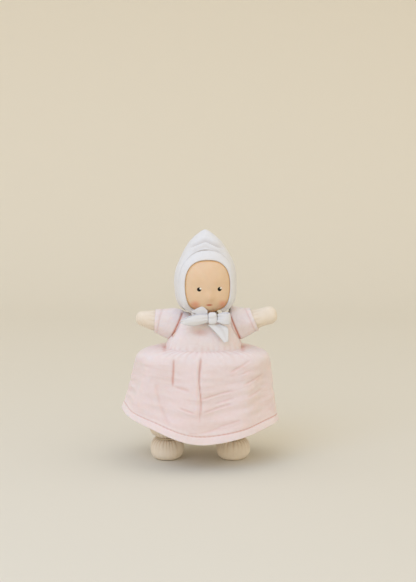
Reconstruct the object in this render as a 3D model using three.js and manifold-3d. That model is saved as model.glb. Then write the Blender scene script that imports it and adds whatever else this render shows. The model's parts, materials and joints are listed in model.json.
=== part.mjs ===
// Baby doll: hollow moulded rubber head on a stuffed cloth body, in a gathered dress and a pointed bonnet.
// Millimetres, +Z up. The doll stands on z = 0 and faces -Y, so its own left side is +X.
import * as THREE from 'three';
import { mergeVertices } from 'three/addons/utils/BufferGeometryUtils.js';
import Module from 'manifold-3d';

const wasm = await Module();
wasm.setup();

// Cloth, rubber and the gaps between layers
const CLOTH = 1.0;
const RUBBER = 2.5;
const LAYER_GAP = 0.6;
const SEAM_GAP = 0.35;
const JOINT_GAP = 0.8;

// Legs and feet: each leg hangs from a ball at the hip
const LEG_SPREAD = 37.8;
const HIP_HEIGHT = 70;
const HIP_RADIUS = 16.5;
const LEG_RADIUS = 20.8;
const ANKLE_HEIGHT = 25;
const ANKLE_RADIUS = 11.5;
const FOOT_RADIUS = 19.4;
const SOLE_RADIUS = 10.5;
const THREAD_RADIUS = 0.8;
const ANKLE_GROOVE = 1.5;
const LIMB_HOLE = 5;

// Body, each height counted from the one below it
const SEAT_RISE = 2;
const PELVIS_RISE = 23;
const WAIST_RISE = 36.8;
const CHEST_RISE = 21.6;
const SHOULDER_RISE = 11.6;
const NECK_RISE = 4.5;
const PELVIS_HALF_WIDTH = 45;
const PELVIS_HALF_DEPTH = 31.5;
const WAIST_HALF_WIDTH = 42;
const WAIST_HALF_DEPTH = 31.5;
const CHEST_HALF_WIDTH = 32;
const CHEST_HALF_DEPTH = 26.5;
const SHOULDER_HALF_WIDTH = 22.5;
const SHOULDER_HALF_DEPTH = 19;
const NECK_RADIUS = 12.6;
const NECK_EDGE = 2.5;
const LEAN = 6.5;

// Arms: balls at the shoulders, sunk into the sides of the chest
const LEFT_ARM_LENGTH = 44.5;
const RIGHT_ARM_LENGTH = 40.5;
const ARM_RADIUS = 12.6;
const HAND_RADIUS = 10.4;
const SHOULDER_STAND_OFF = 7.5;
const LEFT_ARM_RISE = 15.5;
const RIGHT_ARM_RISE = 11;
const SLEEVE_LENGTH = 18.5;
const SLEEVE_ROOT_HEIGHT = 17.8;
const SLEEVE_ROOT_DEPTH = 14.6;
const SLEEVE_TUCK = 18;
const ARMHOLE_ROOM = 1.9;

// Skirt: gathered at the waist, puffed at once, and flaring to the hem
const SKIRT_PUFF_WIDTH = 76;
const SKIRT_PUFF_DEPTH = 42;
const HEM_HALF_WIDTH = 89.5;
const HEM_HALF_DEPTH = 60;
const HEM_FRONT_HEIGHT = 31.5;
const HEM_SIDE_RISE = 22;
const HEM_TILT = 6;
const HEM_ROUNDING = 0.3;
const HEM_DEPTH = 9;
const FOLD_COUNT = 8;
const FOLD_HEIGHT = 2.2;
const CENTRE_CREASE = 2.2;

// Head, in its own frame about its centre
const HEAD_RISE = 38.1;
const HEAD_HALF_WIDTH = 33.3;
const HEAD_HALF_DEPTH = 34.5;
const HEAD_UP = 35.5;
const HEAD_DOWN = 33;
const HEAD_TURN = 5;
const EYE_SPACING = 22.8;
const FACE_SHIFT = 1.4;
const EYE_DROP = 5.6;
const EYE_HOLLOW = 0.9;
const EYE_SPREAD = 5;
const NOSE_DROP = 14.1;
const NOSE_HEIGHT = 2.4;
const NOSE_SPREAD = 3.4;
const BRIDGE_RISE = 9;
const BRIDGE_HEIGHT = 0.5;
const BRIDGE_SPREAD = 6;
const MOUTH_DROP = 23.5;
const MOUTH_HOLLOW = 0.6;
const MOUTH_SPREAD = 3;
const CHEEK_SPACING = 31;
const CHEEK_DROP = 23.5;
const CHEEK_HEIGHT = 1.3;
const CHEEK_SPREAD = 7.5;
const CHIN_DROP = 29.5;
const CHIN_HEIGHT = 1.6;
const CHIN_SPREAD = 6;
const FLANGE = 1.4;
const FLANGE_THICKNESS = 3;
const FLANGE_DROP = 6.5;

// Bonnet and its bow
const FACE_HALF_WIDTH = 24.8;
const FACE_HALF_HEIGHT = 28.7;
const FACE_DROP = 3.3;
const RIM_FORWARD = 21;
const BRIM_WIDTH = 16;
const BRIM_CLOTH = 1.6;
const PEAK_HEIGHT = 21.2;
const PEAK_TILT = 8;
const BONNET_GAP = 1;
const BONNET_FLARE = 10;
const JAW_ROOM = 2;
const BONNET_DROP = 36.5;
const RIBBON = 1.2;
const KNOT_SHIFT = 4.8;
const KNOT_DROP = 5.1;
const BOW_STAND_OFF = 5;
const KNOT_WIDTH = 10;
const KNOT_HEIGHT = 13.6;
const KNOT_DEPTH = 8;
const LEFT_LOOP_LENGTH = 14;
const RIGHT_LOOP_LENGTH = 29.5;
const RIGHT_LOOP_TIP = 3.5;
const LOOP_HEIGHT = 12.4;
const LOOP_DROP = 3.1;
const LOOP_BELLY = 3;
const LOOP_LAYER = 1.5;
const LOOP_FORWARD = 3;
const LOOP_ROOT = 9;
const TAIL_LENGTH = 20;
const TAIL_WIDTH = 15.3;
const TAIL_TIP = 4.3;
const TAIL_SWING = 15;
const TAIL_FORWARD = 4.5;
const SHORT_TAIL_LENGTH = 18;
const SHORT_TAIL_HEIGHT = 7.3;
const TIE_WIDTH = 6;
const TIE_SAG = 2.5;
const TIE_MEET = 1.2;

// Heights that follow from the sizes above
const SEAT_HEIGHT = HIP_HEIGHT + SEAT_RISE;
const PELVIS_HEIGHT = SEAT_HEIGHT + PELVIS_RISE;
const WAIST_HEIGHT = PELVIS_HEIGHT + WAIST_RISE;
const CHEST_HEIGHT = WAIST_HEIGHT + CHEST_RISE;
const SHOULDER_HEIGHT = CHEST_HEIGHT + SHOULDER_RISE;
const NECK_HEIGHT = SHOULDER_HEIGHT + NECK_RISE;
const HEAD_HEIGHT = NECK_HEIGHT + HEAD_RISE;

// Layers of the body, counted outwards from the body cloth's outer face
const BODICE_INSIDE = LAYER_GAP;
const BODICE_OUTSIDE = BODICE_INSIDE + CLOTH;
const STUFFING_INSET = CLOTH + JOINT_GAP;

const finishes = {
  rubber: { color: 0xe2c2a0, roughness: 0.5, metalness: 0 },
  whiteCotton: { color: 0xebeae6, roughness: 0.9, metalness: 0 },
  pinkGauze: { color: 0xecd6d3, roughness: 0.95, metalness: 0 },
  ivoryJersey: { color: 0xe2dbc9, roughness: 0.9, metalness: 0 },
  wool: { color: 0xd9d2c0, roughness: 1, metalness: 0 },
  thread: { color: 0xd8cfb8, roughness: 0.8, metalness: 0 },
};

const doll = new THREE.Group();

function piece(name, geometry, finish, parent = doll) {
  const mesh = new THREE.Mesh(geometry, new THREE.MeshStandardMaterial(finishes[finish]));
  mesh.name = name;
  parent.add(mesh);
  return mesh;
}

const radians = THREE.MathUtils.degToRad;
const lerp = THREE.MathUtils.lerp;
const smoothstep = THREE.MathUtils.smoothstep;

// Joins equal points, drops triangles without area and turns the faces outwards
function closedBody(geometry) {
  const bare = geometry.clone();
  bare.deleteAttribute('normal');
  bare.deleteAttribute('uv');
  const merged = mergeVertices(bare, 1e-4);
  const place = merged.getAttribute('position');
  const corners = merged.getIndex().array;
  const kept = [];
  const [a, b, c] = [new THREE.Vector3(), new THREE.Vector3(), new THREE.Vector3()];
  let volume = 0;
  for (let i = 0; i < corners.length; i += 3) {
    const [p, q, r] = corners.slice(i, i + 3);
    if (p === q || q === r || r === p) continue;
    kept.push(p, q, r);
    a.fromBufferAttribute(place, p);
    b.fromBufferAttribute(place, q);
    c.fromBufferAttribute(place, r);
    volume += a.dot(b.cross(c));
  }
  merged.setIndex(volume < 0 ? kept.reverse() : kept);
  merged.computeVertexNormals();
  return merged;
}

function toSolid(geometry) {
  const body = closedBody(geometry);
  const vertProperties = new Float32Array(body.getAttribute('position').array);
  const triVerts = new Uint32Array(body.getIndex().array);
  return new wasm.Manifold(new wasm.Mesh({ numProp: 3, vertProperties, triVerts }));
}

function fromSolid(solid) {
  const mesh = solid.getMesh();
  const geometry = new THREE.BufferGeometry();
  geometry.setAttribute('position', new THREE.BufferAttribute(new Float32Array(mesh.vertProperties), 3));
  geometry.setIndex(Array.from(mesh.triVerts));
  return closedBody(geometry);
}

function cut(geometry, ...tools) {
  return fromSolid(tools.reduce((solid, tool) => solid.subtract(toSolid(tool)), toSolid(geometry)));
}

// Joins rings of points into one body. A ring of one point is a pole. A loop of rings has no ends, and
// an open row of rings is closed by flat ends.
function loft(rings, looped = false) {
  const points = rings.flat();
  const starts = [];
  rings.reduce((start, ring) => {
    starts.push(start);
    return start + ring.length;
  }, 0);
  const index = [];
  const steps = looped ? rings.length : rings.length - 1;
  for (let i = 0; i < steps; i += 1) {
    const j = (i + 1) % rings.length;
    const count = Math.max(rings[i].length, rings[j].length);
    for (let k = 0; k < count; k += 1) {
      const next = (k + 1) % count;
      const a = starts[i] + (rings[i].length === 1 ? 0 : k);
      const b = starts[i] + (rings[i].length === 1 ? 0 : next);
      const c = starts[j] + (rings[j].length === 1 ? 0 : k);
      const d = starts[j] + (rings[j].length === 1 ? 0 : next);
      index.push(a, b, d, a, d, c);
    }
  }
  if (!looped) {
    closeEnd(points, index, rings[0], starts[0], false);
    closeEnd(points, index, rings.at(-1), starts.at(-1), true);
  }
  const geometry = new THREE.BufferGeometry().setFromPoints(points);
  geometry.setIndex(index);
  return closedBody(geometry);
}

// Fans an end ring to its middle
function closeEnd(points, index, ring, start, last) {
  if (ring.length === 1) return;
  const middle = ring.reduce((sum, p) => sum.add(p), new THREE.Vector3()).divideScalar(ring.length);
  points.push(middle);
  ring.forEach((_, k) => {
    const a = start + k;
    const b = start + ((k + 1) % ring.length);
    index.push(points.length - 1, last ? a : b, last ? b : a);
  });
}

// One closed sheet with thickness between two grids of points, rows by columns. A zipped sheet's last row
// is folded on itself, so that its two halves share that edge and it needs no wall there.
function sheet(outer, inner, zipped = false) {
  const rows = outer.length;
  const columns = outer[0].length;
  const points = [...outer.flat(), ...inner.flat()];
  const at = (side, i, j) => side * rows * columns + i * columns + j;
  const index = [];
  const quad = (a, b, c, d) => index.push(a, b, c, a, c, d);
  for (let i = 0; i < rows - 1; i += 1) {
    for (let j = 0; j < columns - 1; j += 1) {
      quad(at(0, i, j), at(0, i, j + 1), at(0, i + 1, j + 1), at(0, i + 1, j));
      quad(at(1, i, j), at(1, i + 1, j), at(1, i + 1, j + 1), at(1, i, j + 1));
    }
    quad(at(0, i, 0), at(0, i + 1, 0), at(1, i + 1, 0), at(1, i, 0));
    const e = columns - 1;
    quad(at(0, i, e), at(1, i, e), at(1, i + 1, e), at(0, i + 1, e));
  }
  for (let j = 0; j < columns - 1; j += 1) {
    quad(at(0, 0, j), at(1, 0, j), at(1, 0, j + 1), at(0, 0, j + 1));
    const e = rows - 1;
    if (!zipped) quad(at(0, e, j), at(0, e, j + 1), at(1, e, j + 1), at(1, e, j));
  }
  const geometry = new THREE.BufferGeometry().setFromPoints(points);
  geometry.setIndex(index);
  return closedBody(geometry);
}

// A strip of cloth between two edge curves, thick across its face and slightly fuller in the middle
function ribbon(edgeA, edgeB, thickness, steps) {
  const curveA = new THREE.CatmullRomCurve3(edgeA);
  const curveB = new THREE.CatmullRomCurve3(edgeB);
  const rings = [];
  for (let i = 0; i <= steps; i += 1) {
    const a = curveA.getPoint(i / steps);
    const b = curveB.getPoint(i / steps);
    const along = curveA.getTangent(i / steps).add(curveB.getTangent(i / steps));
    const across = new THREE.Vector3().subVectors(b, a);
    const normal = new THREE.Vector3().crossVectors(along, across).normalize();
    const face = (share, side) => {
      const edgeShare = 0.7 + 1.2 * share * (1 - share);
      return a.clone().lerp(b, share).addScaledVector(normal, side * edgeShare * thickness * 0.5);
    };
    rings.push([face(0, 1), face(0.5, 1), face(1, 1), face(1, -1), face(0.5, -1), face(0, -1)]);
  }
  return loft(rings);
}

function latheBody(profile, segments) {
  return closedBody(new THREE.LatheGeometry(profile, segments));
}

// Points of an arc about a middle on the axis, from one angle to another, in degrees from the axis' foot
function arc(middle, radius, from, to, steps) {
  return Array.from({ length: steps + 1 }, (_, i) => {
    const angle = radians(lerp(from, to, i / steps));
    return new THREE.Vector2(radius * Math.sin(angle), middle - radius * Math.cos(angle));
  });
}

// Body section: half width and half depth at each height, on one smooth curve from the seat to the neck edge
const NECK_FOOT_SHARE = 0.6;
const SEAT_POWER = 2.4;
const bodySquareness = (z) => lerp(2.5, 2, smoothstep(z, CHEST_HEIGHT, NECK_HEIGHT));
const seatShares = [0.05, 0.22, 0.55];
const seatRound = seatShares.map((share) => {
  const fullness = (1 - (1 - share) ** SEAT_POWER) ** (1 / SEAT_POWER);
  const height = SEAT_HEIGHT + PELVIS_RISE * share;
  return new THREE.Vector3(PELVIS_HALF_WIDTH * fullness, PELVIS_HALF_DEPTH * fullness, height);
});
const bodyCurve = new THREE.CatmullRomCurve3([
  ...seatRound,
  new THREE.Vector3(PELVIS_HALF_WIDTH, PELVIS_HALF_DEPTH, PELVIS_HEIGHT),
  new THREE.Vector3(WAIST_HALF_WIDTH, WAIST_HALF_DEPTH, WAIST_HEIGHT),
  new THREE.Vector3(CHEST_HALF_WIDTH, CHEST_HALF_DEPTH, CHEST_HEIGHT),
  new THREE.Vector3(SHOULDER_HALF_WIDTH, SHOULDER_HALF_DEPTH, SHOULDER_HEIGHT),
  new THREE.Vector3(NECK_RADIUS + CLOTH, NECK_RADIUS + CLOTH, SHOULDER_HEIGHT + NECK_RISE * NECK_FOOT_SHARE),
  new THREE.Vector3(NECK_RADIUS, NECK_RADIUS, NECK_HEIGHT),
  new THREE.Vector3(NECK_RADIUS, NECK_RADIUS, NECK_HEIGHT + NECK_EDGE),
]);
const bodySamples = bodyCurve.getPoints(240);

function bodySection(z) {
  const above = bodySamples.findIndex((p) => p.z >= z);
  if (above < 0) return bodySamples.at(-1).clone();
  if (above === 0) return bodySamples[0].clone();
  const [low, high] = [bodySamples[above - 1], bodySamples[above]];
  return low.clone().lerp(high, (z - low.z) / (high.z - low.z));
}

// The upper body stands a little to the doll's left of its feet
function leanAt(z) {
  return LEAN * THREE.MathUtils.clamp((z - SEAT_HEIGHT) / (SHOULDER_HEIGHT - SEAT_HEIGHT), 0, 1);
}

// A rounded ring: a superellipse about a middle, at one height
function roundedRing(middleX, z, halfWidth, halfDepth, squareness, count) {
  return Array.from({ length: count }, (_, i) => {
    const angle = (2 * Math.PI * i) / count;
    const [c, s] = [Math.cos(angle), Math.sin(angle)];
    const reach = (Math.abs(c) ** squareness + Math.abs(s) ** squareness) ** (-1 / squareness);
    return new THREE.Vector3(middleX + halfWidth * c * reach, halfDepth * s * reach, z);
  });
}

const BODY_SIDES = 22;
const STUFFING_SIDES = 14;

function bodyRing(z, offset, sides = BODY_SIDES) {
  const section = bodySection(z);
  const seatward = THREE.MathUtils.clamp((PELVIS_HEIGHT - z) / PELVIS_RISE, 0, 1);
  const [width, depth] = [section.x + offset, section.y + offset];
  return roundedRing(leanAt(z), z - offset * seatward, width, depth, bodySquareness(z), sides);
}

const bodiceHeights = [
  WAIST_HEIGHT,
  WAIST_HEIGHT + CHEST_RISE * 0.5,
  CHEST_HEIGHT,
  CHEST_HEIGHT + SHOULDER_RISE * 0.5,
  SHOULDER_HEIGHT,
  SHOULDER_HEIGHT + NECK_RISE * 0.25,
];
const neckHeights = [
  SHOULDER_HEIGHT + NECK_RISE * NECK_FOOT_SHARE,
  NECK_HEIGHT,
  NECK_HEIGHT + NECK_EDGE,
];
const bodyHeights = [
  ...seatShares.map((share) => SEAT_HEIGHT + PELVIS_RISE * share),
  PELVIS_HEIGHT,
  PELVIS_HEIGHT + WAIST_RISE * 0.5,
  ...bodiceHeights,
  ...neckHeights,
];

// The whole body moved in or out by an offset, closed at the seat, and cut flat at its top
function bodySolid(offset, extraTop = 0, sides = BODY_SIDES) {
  const seat = [new THREE.Vector3(leanAt(SEAT_HEIGHT), 0, SEAT_HEIGHT - offset)];
  const rings = bodyHeights.map((z) => bodyRing(z, offset, sides));
  const top = rings.at(-1).map((p) => p.clone().setZ(p.z + extraTop));
  return loft(extraTop > 0 ? [seat, ...rings, top] : [seat, ...rings]);
}

// The shoulder hinge stands off the side of the chest along the body's own slope there
function shoulderHinge(side) {
  const [low, high] = [bodySection(CHEST_HEIGHT - 1), bodySection(CHEST_HEIGHT + 1)];
  const out = new THREE.Vector2(2, low.x - high.x).normalize();
  const reach = bodySection(CHEST_HEIGHT).x + SHOULDER_STAND_OFF * out.x;
  return new THREE.Vector3(leanAt(CHEST_HEIGHT) + side * reach, 0, CHEST_HEIGHT + SHOULDER_STAND_OFF * out.y);
}

function hipHinge(side) {
  return new THREE.Vector3(side * LEG_SPREAD, 0, HIP_HEIGHT);
}

function ball(middle, radius) {
  return new THREE.SphereGeometry(radius, 16, 11).translate(middle.x, middle.y, middle.z);
}

// The four sockets of the limbs, grown by an allowance
function sockets(allowance) {
  return [-1, 1].flatMap((side) => [
    ball(shoulderHinge(side), ARM_RADIUS + JOINT_GAP + allowance),
    ball(hipHinge(side), HIP_RADIUS + JOINT_GAP + allowance),
  ]);
}

function block(width, low, high) {
  const box = new THREE.BoxGeometry(width, width, high - low);
  return box.translate(0, 0, (low + high) / 2);
}

const EVERYTHING = 4 * HEM_HALF_WIDTH;
const stuffingTop = NECK_HEIGHT - FLANGE_DROP - 2 * JOINT_GAP;
const bodyHollow = cut(bodySolid(-CLOTH, NECK_EDGE), ...sockets(CLOTH));
piece('torso_cover', cut(bodySolid(0), ...sockets(0), bodyHollow), 'ivoryJersey');
piece(
  'torso_stuffing',
  cut(
    bodySolid(-STUFFING_INSET, 0, STUFFING_SIDES),
    ...sockets(STUFFING_INSET),
    block(EVERYTHING, stuffingTop, EVERYTHING),
  ),
  'wool',
);
const neckTieRing = NECK_RADIUS + SEAM_GAP + THREAD_RADIUS;
const neckTie = piece('neck_tie', new THREE.TorusGeometry(neckTieRing, THREAD_RADIUS, 5, 22), 'thread');
neckTie.position.set(LEAN, 0, NECK_HEIGHT);

// Legs: a flat-soled ball foot gathered at the ankle, a puffed leg and a round hip
const FOOT_MIDDLE_SHARE = 0.44;
const LEG_MIDDLE_SHARE = 0.42;
const LEG_SIDES = 18;
const FINE_TURN = [0, 0.35, 0.7, 1];
const COARSE_TURN = [0, 0.55, 1];

function legProfile(inset, holeRadius) {
  const footMiddle = ANKLE_HEIGHT * FOOT_MIDDLE_SHARE;
  const legMiddle = lerp(ANKLE_HEIGHT, HIP_HEIGHT, LEG_MIDDLE_SHARE);
  const [sole, foot, ankle] = [SOLE_RADIUS - inset, FOOT_RADIUS - inset, ANKLE_RADIUS - inset];
  const [leg, hip] = [LEG_RADIUS - inset, HIP_RADIUS - inset];
  const turn = (inset > 0 ? COARSE_TURN : FINE_TURN).map((share) => share * Math.PI * 0.5);
  const footLow = turn.map((t) => new THREE.Vector2(
    lerp(sole, foot, Math.sin(t)),
    lerp(inset, footMiddle, 1 - Math.cos(t)),
  ));
  const footHigh = turn.slice(1).map((t) => new THREE.Vector2(
    lerp(ankle, foot, Math.cos(t)),
    lerp(footMiddle, ANKLE_HEIGHT - ANKLE_GROOVE, Math.sin(t)),
  ));
  const legLow = turn.map((t) => new THREE.Vector2(
    lerp(ankle, leg, Math.sin(t)),
    lerp(ANKLE_HEIGHT + ANKLE_GROOVE, legMiddle, 1 - Math.cos(t)),
  ));
  const legHigh = [0.35, 0.7].map((share) => new THREE.Vector2(
    lerp(leg, hip, smoothstep(share, 0, 1)),
    lerp(legMiddle, HIP_HEIGHT, share),
  ));
  const holeAngle = 180 - THREE.MathUtils.radToDeg(Math.asin(holeRadius / hip));
  const hipBall = arc(HIP_HEIGHT, hip, 90, holeAngle, inset > 0 ? 3 : 4);
  return [new THREE.Vector2(0, inset), ...footLow, ...footHigh, ...legLow, ...legHigh, ...hipBall];
}

function coverOf(profile, sides) {
  return latheBody([...profile(0, LIMB_HOLE), ...profile(CLOTH, LIMB_HOLE).reverse()], sides);
}

function buildLeg(name, side) {
  const leg = new THREE.Group();
  leg.position.set(side * LEG_SPREAD, 0, 0);
  leg.rotation.x = Math.PI / 2;
  piece(`${name}_leg_cover`, coverOf(legProfile, LEG_SIDES), 'ivoryJersey', leg);
  piece(`${name}_leg_stuffing`, latheBody(legProfile(STUFFING_INSET, 0), STUFFING_SIDES), 'wool', leg);
  const tieRing = ANKLE_RADIUS + SEAM_GAP + THREAD_RADIUS;
  const thread = new THREE.TorusGeometry(tieRing, THREAD_RADIUS, 5, 20);
  const tie = piece(`${name}_ankle_tie`, thread, 'thread', leg);
  tie.rotation.x = Math.PI / 2;
  tie.position.y = ANKLE_HEIGHT;
  doll.add(leg);
}

// Arms: a round shoulder, a slight taper and a plain round hand, along the arm's own axis
const ARM_SIDES = 16;

const HAND_BLUNTNESS = 2.5;

function armRadiusAt(s, length) {
  return lerp(ARM_RADIUS, HAND_RADIUS, smoothstep(s, 0, length - HAND_RADIUS));
}

function armProfile(length, inset, holeRadius) {
  const hand = HAND_RADIUS - inset;
  const blunt = 2 / HAND_BLUNTNESS;
  const fingertip = (inset > 0 ? COARSE_TURN : FINE_TURN).map((share) => new THREE.Vector2(
    hand * Math.sin(share * Math.PI * 0.5) ** blunt,
    length - HAND_RADIUS + hand * Math.max(Math.cos(share * Math.PI * 0.5), 0) ** blunt,
  ));
  const sleeveStretch = (inset > 0 ? [0.5] : [0.66, 0.33]).map((share) => {
    const s = (length - HAND_RADIUS) * share;
    return new THREE.Vector2(armRadiusAt(s, length) - inset, s);
  });
  const shoulder = ARM_RADIUS - inset;
  const holeAngle = THREE.MathUtils.radToDeg(Math.asin(holeRadius / shoulder));
  return [...fingertip, ...sleeveStretch, ...arc(0, shoulder, 90, holeAngle, inset > 0 ? 3 : 4)];
}

function armDirection(side, rise) {
  return new THREE.Vector3(side * Math.cos(radians(rise)), 0, Math.sin(radians(rise)));
}

function buildArm(name, side, rise, length) {
  const profile = (inset, holeRadius) => armProfile(length, inset, holeRadius);
  const arm = new THREE.Group();
  arm.position.copy(shoulderHinge(side));
  arm.quaternion.setFromUnitVectors(new THREE.Vector3(0, 1, 0), armDirection(side, rise));
  piece(`${name}_arm_cover`, coverOf(profile, ARM_SIDES), 'ivoryJersey', arm);
  piece(`${name}_arm_stuffing`, latheBody(profile(STUFFING_INSET, 0), STUFFING_SIDES), 'wool', arm);
  doll.add(arm);
}

buildLeg('left', 1);
buildLeg('right', -1);
buildArm('left', 1, LEFT_ARM_RISE, LEFT_ARM_LENGTH);
buildArm('right', -1, RIGHT_ARM_RISE, RIGHT_ARM_LENGTH);

// Bodice: two panels round the chest, with round armholes, joined down the sides and over the shoulders
const bodiceTube = loft([
  ...bodiceHeights.map((z) => bodyRing(z, BODICE_OUTSIDE)),
  ...bodiceHeights.toReversed().map((z) => bodyRing(z, BODICE_INSIDE)),
], true);
const armholes = [-1, 1].map((side) => ball(shoulderHinge(side), ARM_RADIUS + ARMHOLE_ROOM));
const halfAway = (EVERYTHING + SEAM_GAP) / 2;
const behind = block(EVERYTHING, 0, EVERYTHING).translate(0, halfAway - SEAM_GAP, 0);
const before = block(EVERYTHING, 0, EVERYTHING).translate(0, SEAM_GAP - halfAway, 0);
piece('bodice_front', cut(bodiceTube, ...armholes, behind), 'pinkGauze');
piece('bodice_back', cut(bodiceTube, ...armholes, before), 'pinkGauze');

// Sleeves: short tapering tubes over the arms, cut to the bodice where they are sewn on
const SLEEVE_SIDES = 18;
const sleeveShares = [0, 0.5, 1];

function buildSleeve(name, side, rise, armLength) {
  const along = armDirection(side, rise);
  const depth = new THREE.Vector3(0, 1, 0);
  const height = new THREE.Vector3().crossVectors(along, depth);
  const hinge = shoulderHinge(side);
  const cuff = armRadiusAt(SLEEVE_LENGTH, armLength) + LAYER_GAP + CLOTH;
  const ring = (s, inset) => {
    const share = Math.max(s / SLEEVE_LENGTH, 0);
    const [tall, deep] = [lerp(SLEEVE_ROOT_HEIGHT, cuff, share), lerp(SLEEVE_ROOT_DEPTH, cuff, share)];
    return Array.from({ length: SLEEVE_SIDES }, (_, i) => {
      const angle = (2 * Math.PI * i) / SLEEVE_SIDES;
      const point = hinge.clone().addScaledVector(along, s);
      point.addScaledVector(height, (tall - inset) * Math.cos(angle));
      return point.addScaledVector(depth, (deep - inset) * Math.sin(angle));
    });
  };
  const stations = [-SLEEVE_TUCK, -SLEEVE_TUCK / 2, ...sleeveShares.map((share) => share * SLEEVE_LENGTH)];
  const tube = loft([
    ...stations.map((s) => ring(s, 0)),
    ...stations.toReversed().map((s) => ring(s, CLOTH)),
  ], true);
  piece(`${name}_sleeve`, cut(tube, bodySolid(BODICE_OUTSIDE + SEAM_GAP)), 'pinkGauze');
}

buildSleeve('left', 1, LEFT_ARM_RISE, LEFT_ARM_LENGTH);
buildSleeve('right', -1, RIGHT_ARM_RISE, RIGHT_ARM_LENGTH);

// Skirt: a gathered ring of cloth. The share runs from the waist seam (0) to the hem (1), and the angle is
// counted from the doll's left side, so that its front is at three quarters of a turn.
const SKIRT_SIDES = 56;
const SKIRT_SPLAY = 2.2;
const skirtTop = WAIST_HEIGHT - SEAM_GAP;
const waistSection = bodySection(WAIST_HEIGHT);
const hemShare = 1 - HEM_DEPTH / (skirtTop - HEM_FRONT_HEIGHT);
const skirtShares = [0, 0.025, 0.06, 0.13, 0.26, 0.42, 0.6, 0.78, hemShare - 0.008, hemShare, 1];

function skirtPoint(angle, share, offset) {
  const [c, s] = [Math.cos(angle), Math.sin(angle)];
  const square = lerp(bodySquareness(WAIST_HEIGHT), 2, smoothstep(share, 0, 0.4));
  const round = (Math.abs(c) ** square + Math.abs(s) ** square) ** (-1 / square);
  const spread = (from, puff, hem, quickness, splay) =>
    from + (puff - from) * (1 - Math.exp(-share / quickness)) + (hem - puff) * share ** splay;
  const fromWidth = waistSection.x + BODICE_OUTSIDE;
  const fromDepth = waistSection.y + BODICE_OUTSIDE;
  const width = spread(fromWidth, SKIRT_PUFF_WIDTH, HEM_HALF_WIDTH, 0.045, SKIRT_SPLAY);
  const depth = spread(fromDepth, SKIRT_PUFF_DEPTH, HEM_HALF_DEPTH, 0.12, 1.2);
  const hang = smoothstep(share, 0.02, 0.5) * (1 - 0.6 * smoothstep(share, 0.8, 1));
  const fold = FOLD_HEIGHT * hang * Math.cos(FOLD_COUNT * (angle - 1.5 * Math.PI) + 1.8 * share);
  const fromFront = Math.atan2(c, -s);
  const crease = -CENTRE_CREASE * hang * Math.exp(-((fromFront / 0.12) ** 2));
  const out = offset + fold + crease;
  const sideways = Math.hypot(c, HEM_ROUNDING) - HEM_ROUNDING;
  const rise = HEM_SIDE_RISE * sideways / (Math.hypot(1, HEM_ROUNDING) - HEM_ROUNDING);
  const hemHeight = HEM_FRONT_HEIGHT + rise - HEM_TILT * c;
  const middle = leanAt(WAIST_HEIGHT) * (1 - share);
  return new THREE.Vector3(
    middle + (width + out) * c * round,
    (depth + out) * s * round,
    lerp(skirtTop, hemHeight, share),
  );
}

function skirtRing(share, offset) {
  const turns = Array.from({ length: SKIRT_SIDES }, (_, i) => (2 * Math.PI * i) / SKIRT_SIDES);
  return turns.map((angle) => skirtPoint(angle, share, offset));
}

const hemExtra = (share) => (share >= hemShare ? CLOTH * 0.5 : 0);
piece('skirt', loft([
  ...skirtShares.map((share) => skirtRing(share, hemExtra(share))),
  ...skirtShares.toReversed().map((share) => skirtRing(share, -CLOTH - hemExtra(share))),
], true), 'pinkGauze');

// Head, in its own frame: the origin is the middle of the head, and the face looks along -Y
const headGroup = new THREE.Group();
headGroup.position.set(LEAN, 0, HEAD_HEIGHT);
headGroup.rotation.z = radians(HEAD_TURN);
doll.add(headGroup);

const HEAD_POWER = 2.2;
const JAW_POWER = 2.7;
const faceForms = [
  { x: FACE_SHIFT, drop: NOSE_DROP, height: NOSE_HEIGHT, spread: NOSE_SPREAD },
  { x: FACE_SHIFT, drop: NOSE_DROP - BRIDGE_RISE, height: BRIDGE_HEIGHT, spread: BRIDGE_SPREAD },
  { x: FACE_SHIFT + CHEEK_SPACING / 2, drop: CHEEK_DROP, height: CHEEK_HEIGHT, spread: CHEEK_SPREAD },
  { x: FACE_SHIFT - CHEEK_SPACING / 2, drop: CHEEK_DROP, height: CHEEK_HEIGHT, spread: CHEEK_SPREAD },
  { x: FACE_SHIFT + EYE_SPACING / 2, drop: EYE_DROP, height: -EYE_HOLLOW, spread: EYE_SPREAD },
  { x: FACE_SHIFT - EYE_SPACING / 2, drop: EYE_DROP, height: -EYE_HOLLOW, spread: EYE_SPREAD },
  { x: FACE_SHIFT, drop: MOUTH_DROP, height: -MOUTH_HOLLOW, spread: MOUTH_SPREAD },
  { x: FACE_SHIFT, drop: CHIN_DROP, height: CHIN_HEIGHT, spread: CHIN_SPREAD },
];

// The head is squarer towards the jaw than over the crown
function headPower(rise) {
  return lerp(HEAD_POWER, JAW_POWER, smoothstep(-rise, 0, 0.6));
}

// How far the head's outside lies from its middle in a direction: a rounded block with the face's soft forms
function headRadius(direction) {
  const tall = direction.z > 0 ? HEAD_UP : HEAD_DOWN;
  const power = headPower(direction.z);
  const sum = Math.abs(direction.x / HEAD_HALF_WIDTH) ** power
    + Math.abs(direction.y / HEAD_HALF_DEPTH) ** power
    + Math.abs(direction.z / tall) ** power;
  const plain = sum ** (-1 / power);
  const frontness = smoothstep(-direction.y, 0.1, 0.5);
  return faceForms.reduce((radius, form) => {
    const [dx, dz] = [direction.x * plain - form.x, direction.z * plain + form.drop];
    return radius + frontness * form.height * Math.exp(-(dx * dx + dz * dz) / (2 * form.spread ** 2));
  }, plain);
}

const HEAD_SIDES = 34;
const HEAD_RINGS = 19;
const HOLLOW_RINGS = 8;
const JAW_ANGLE = 157;
const FRONT_CROWDING = 0.55;
const CROWN_ANGLE = 9;

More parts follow.
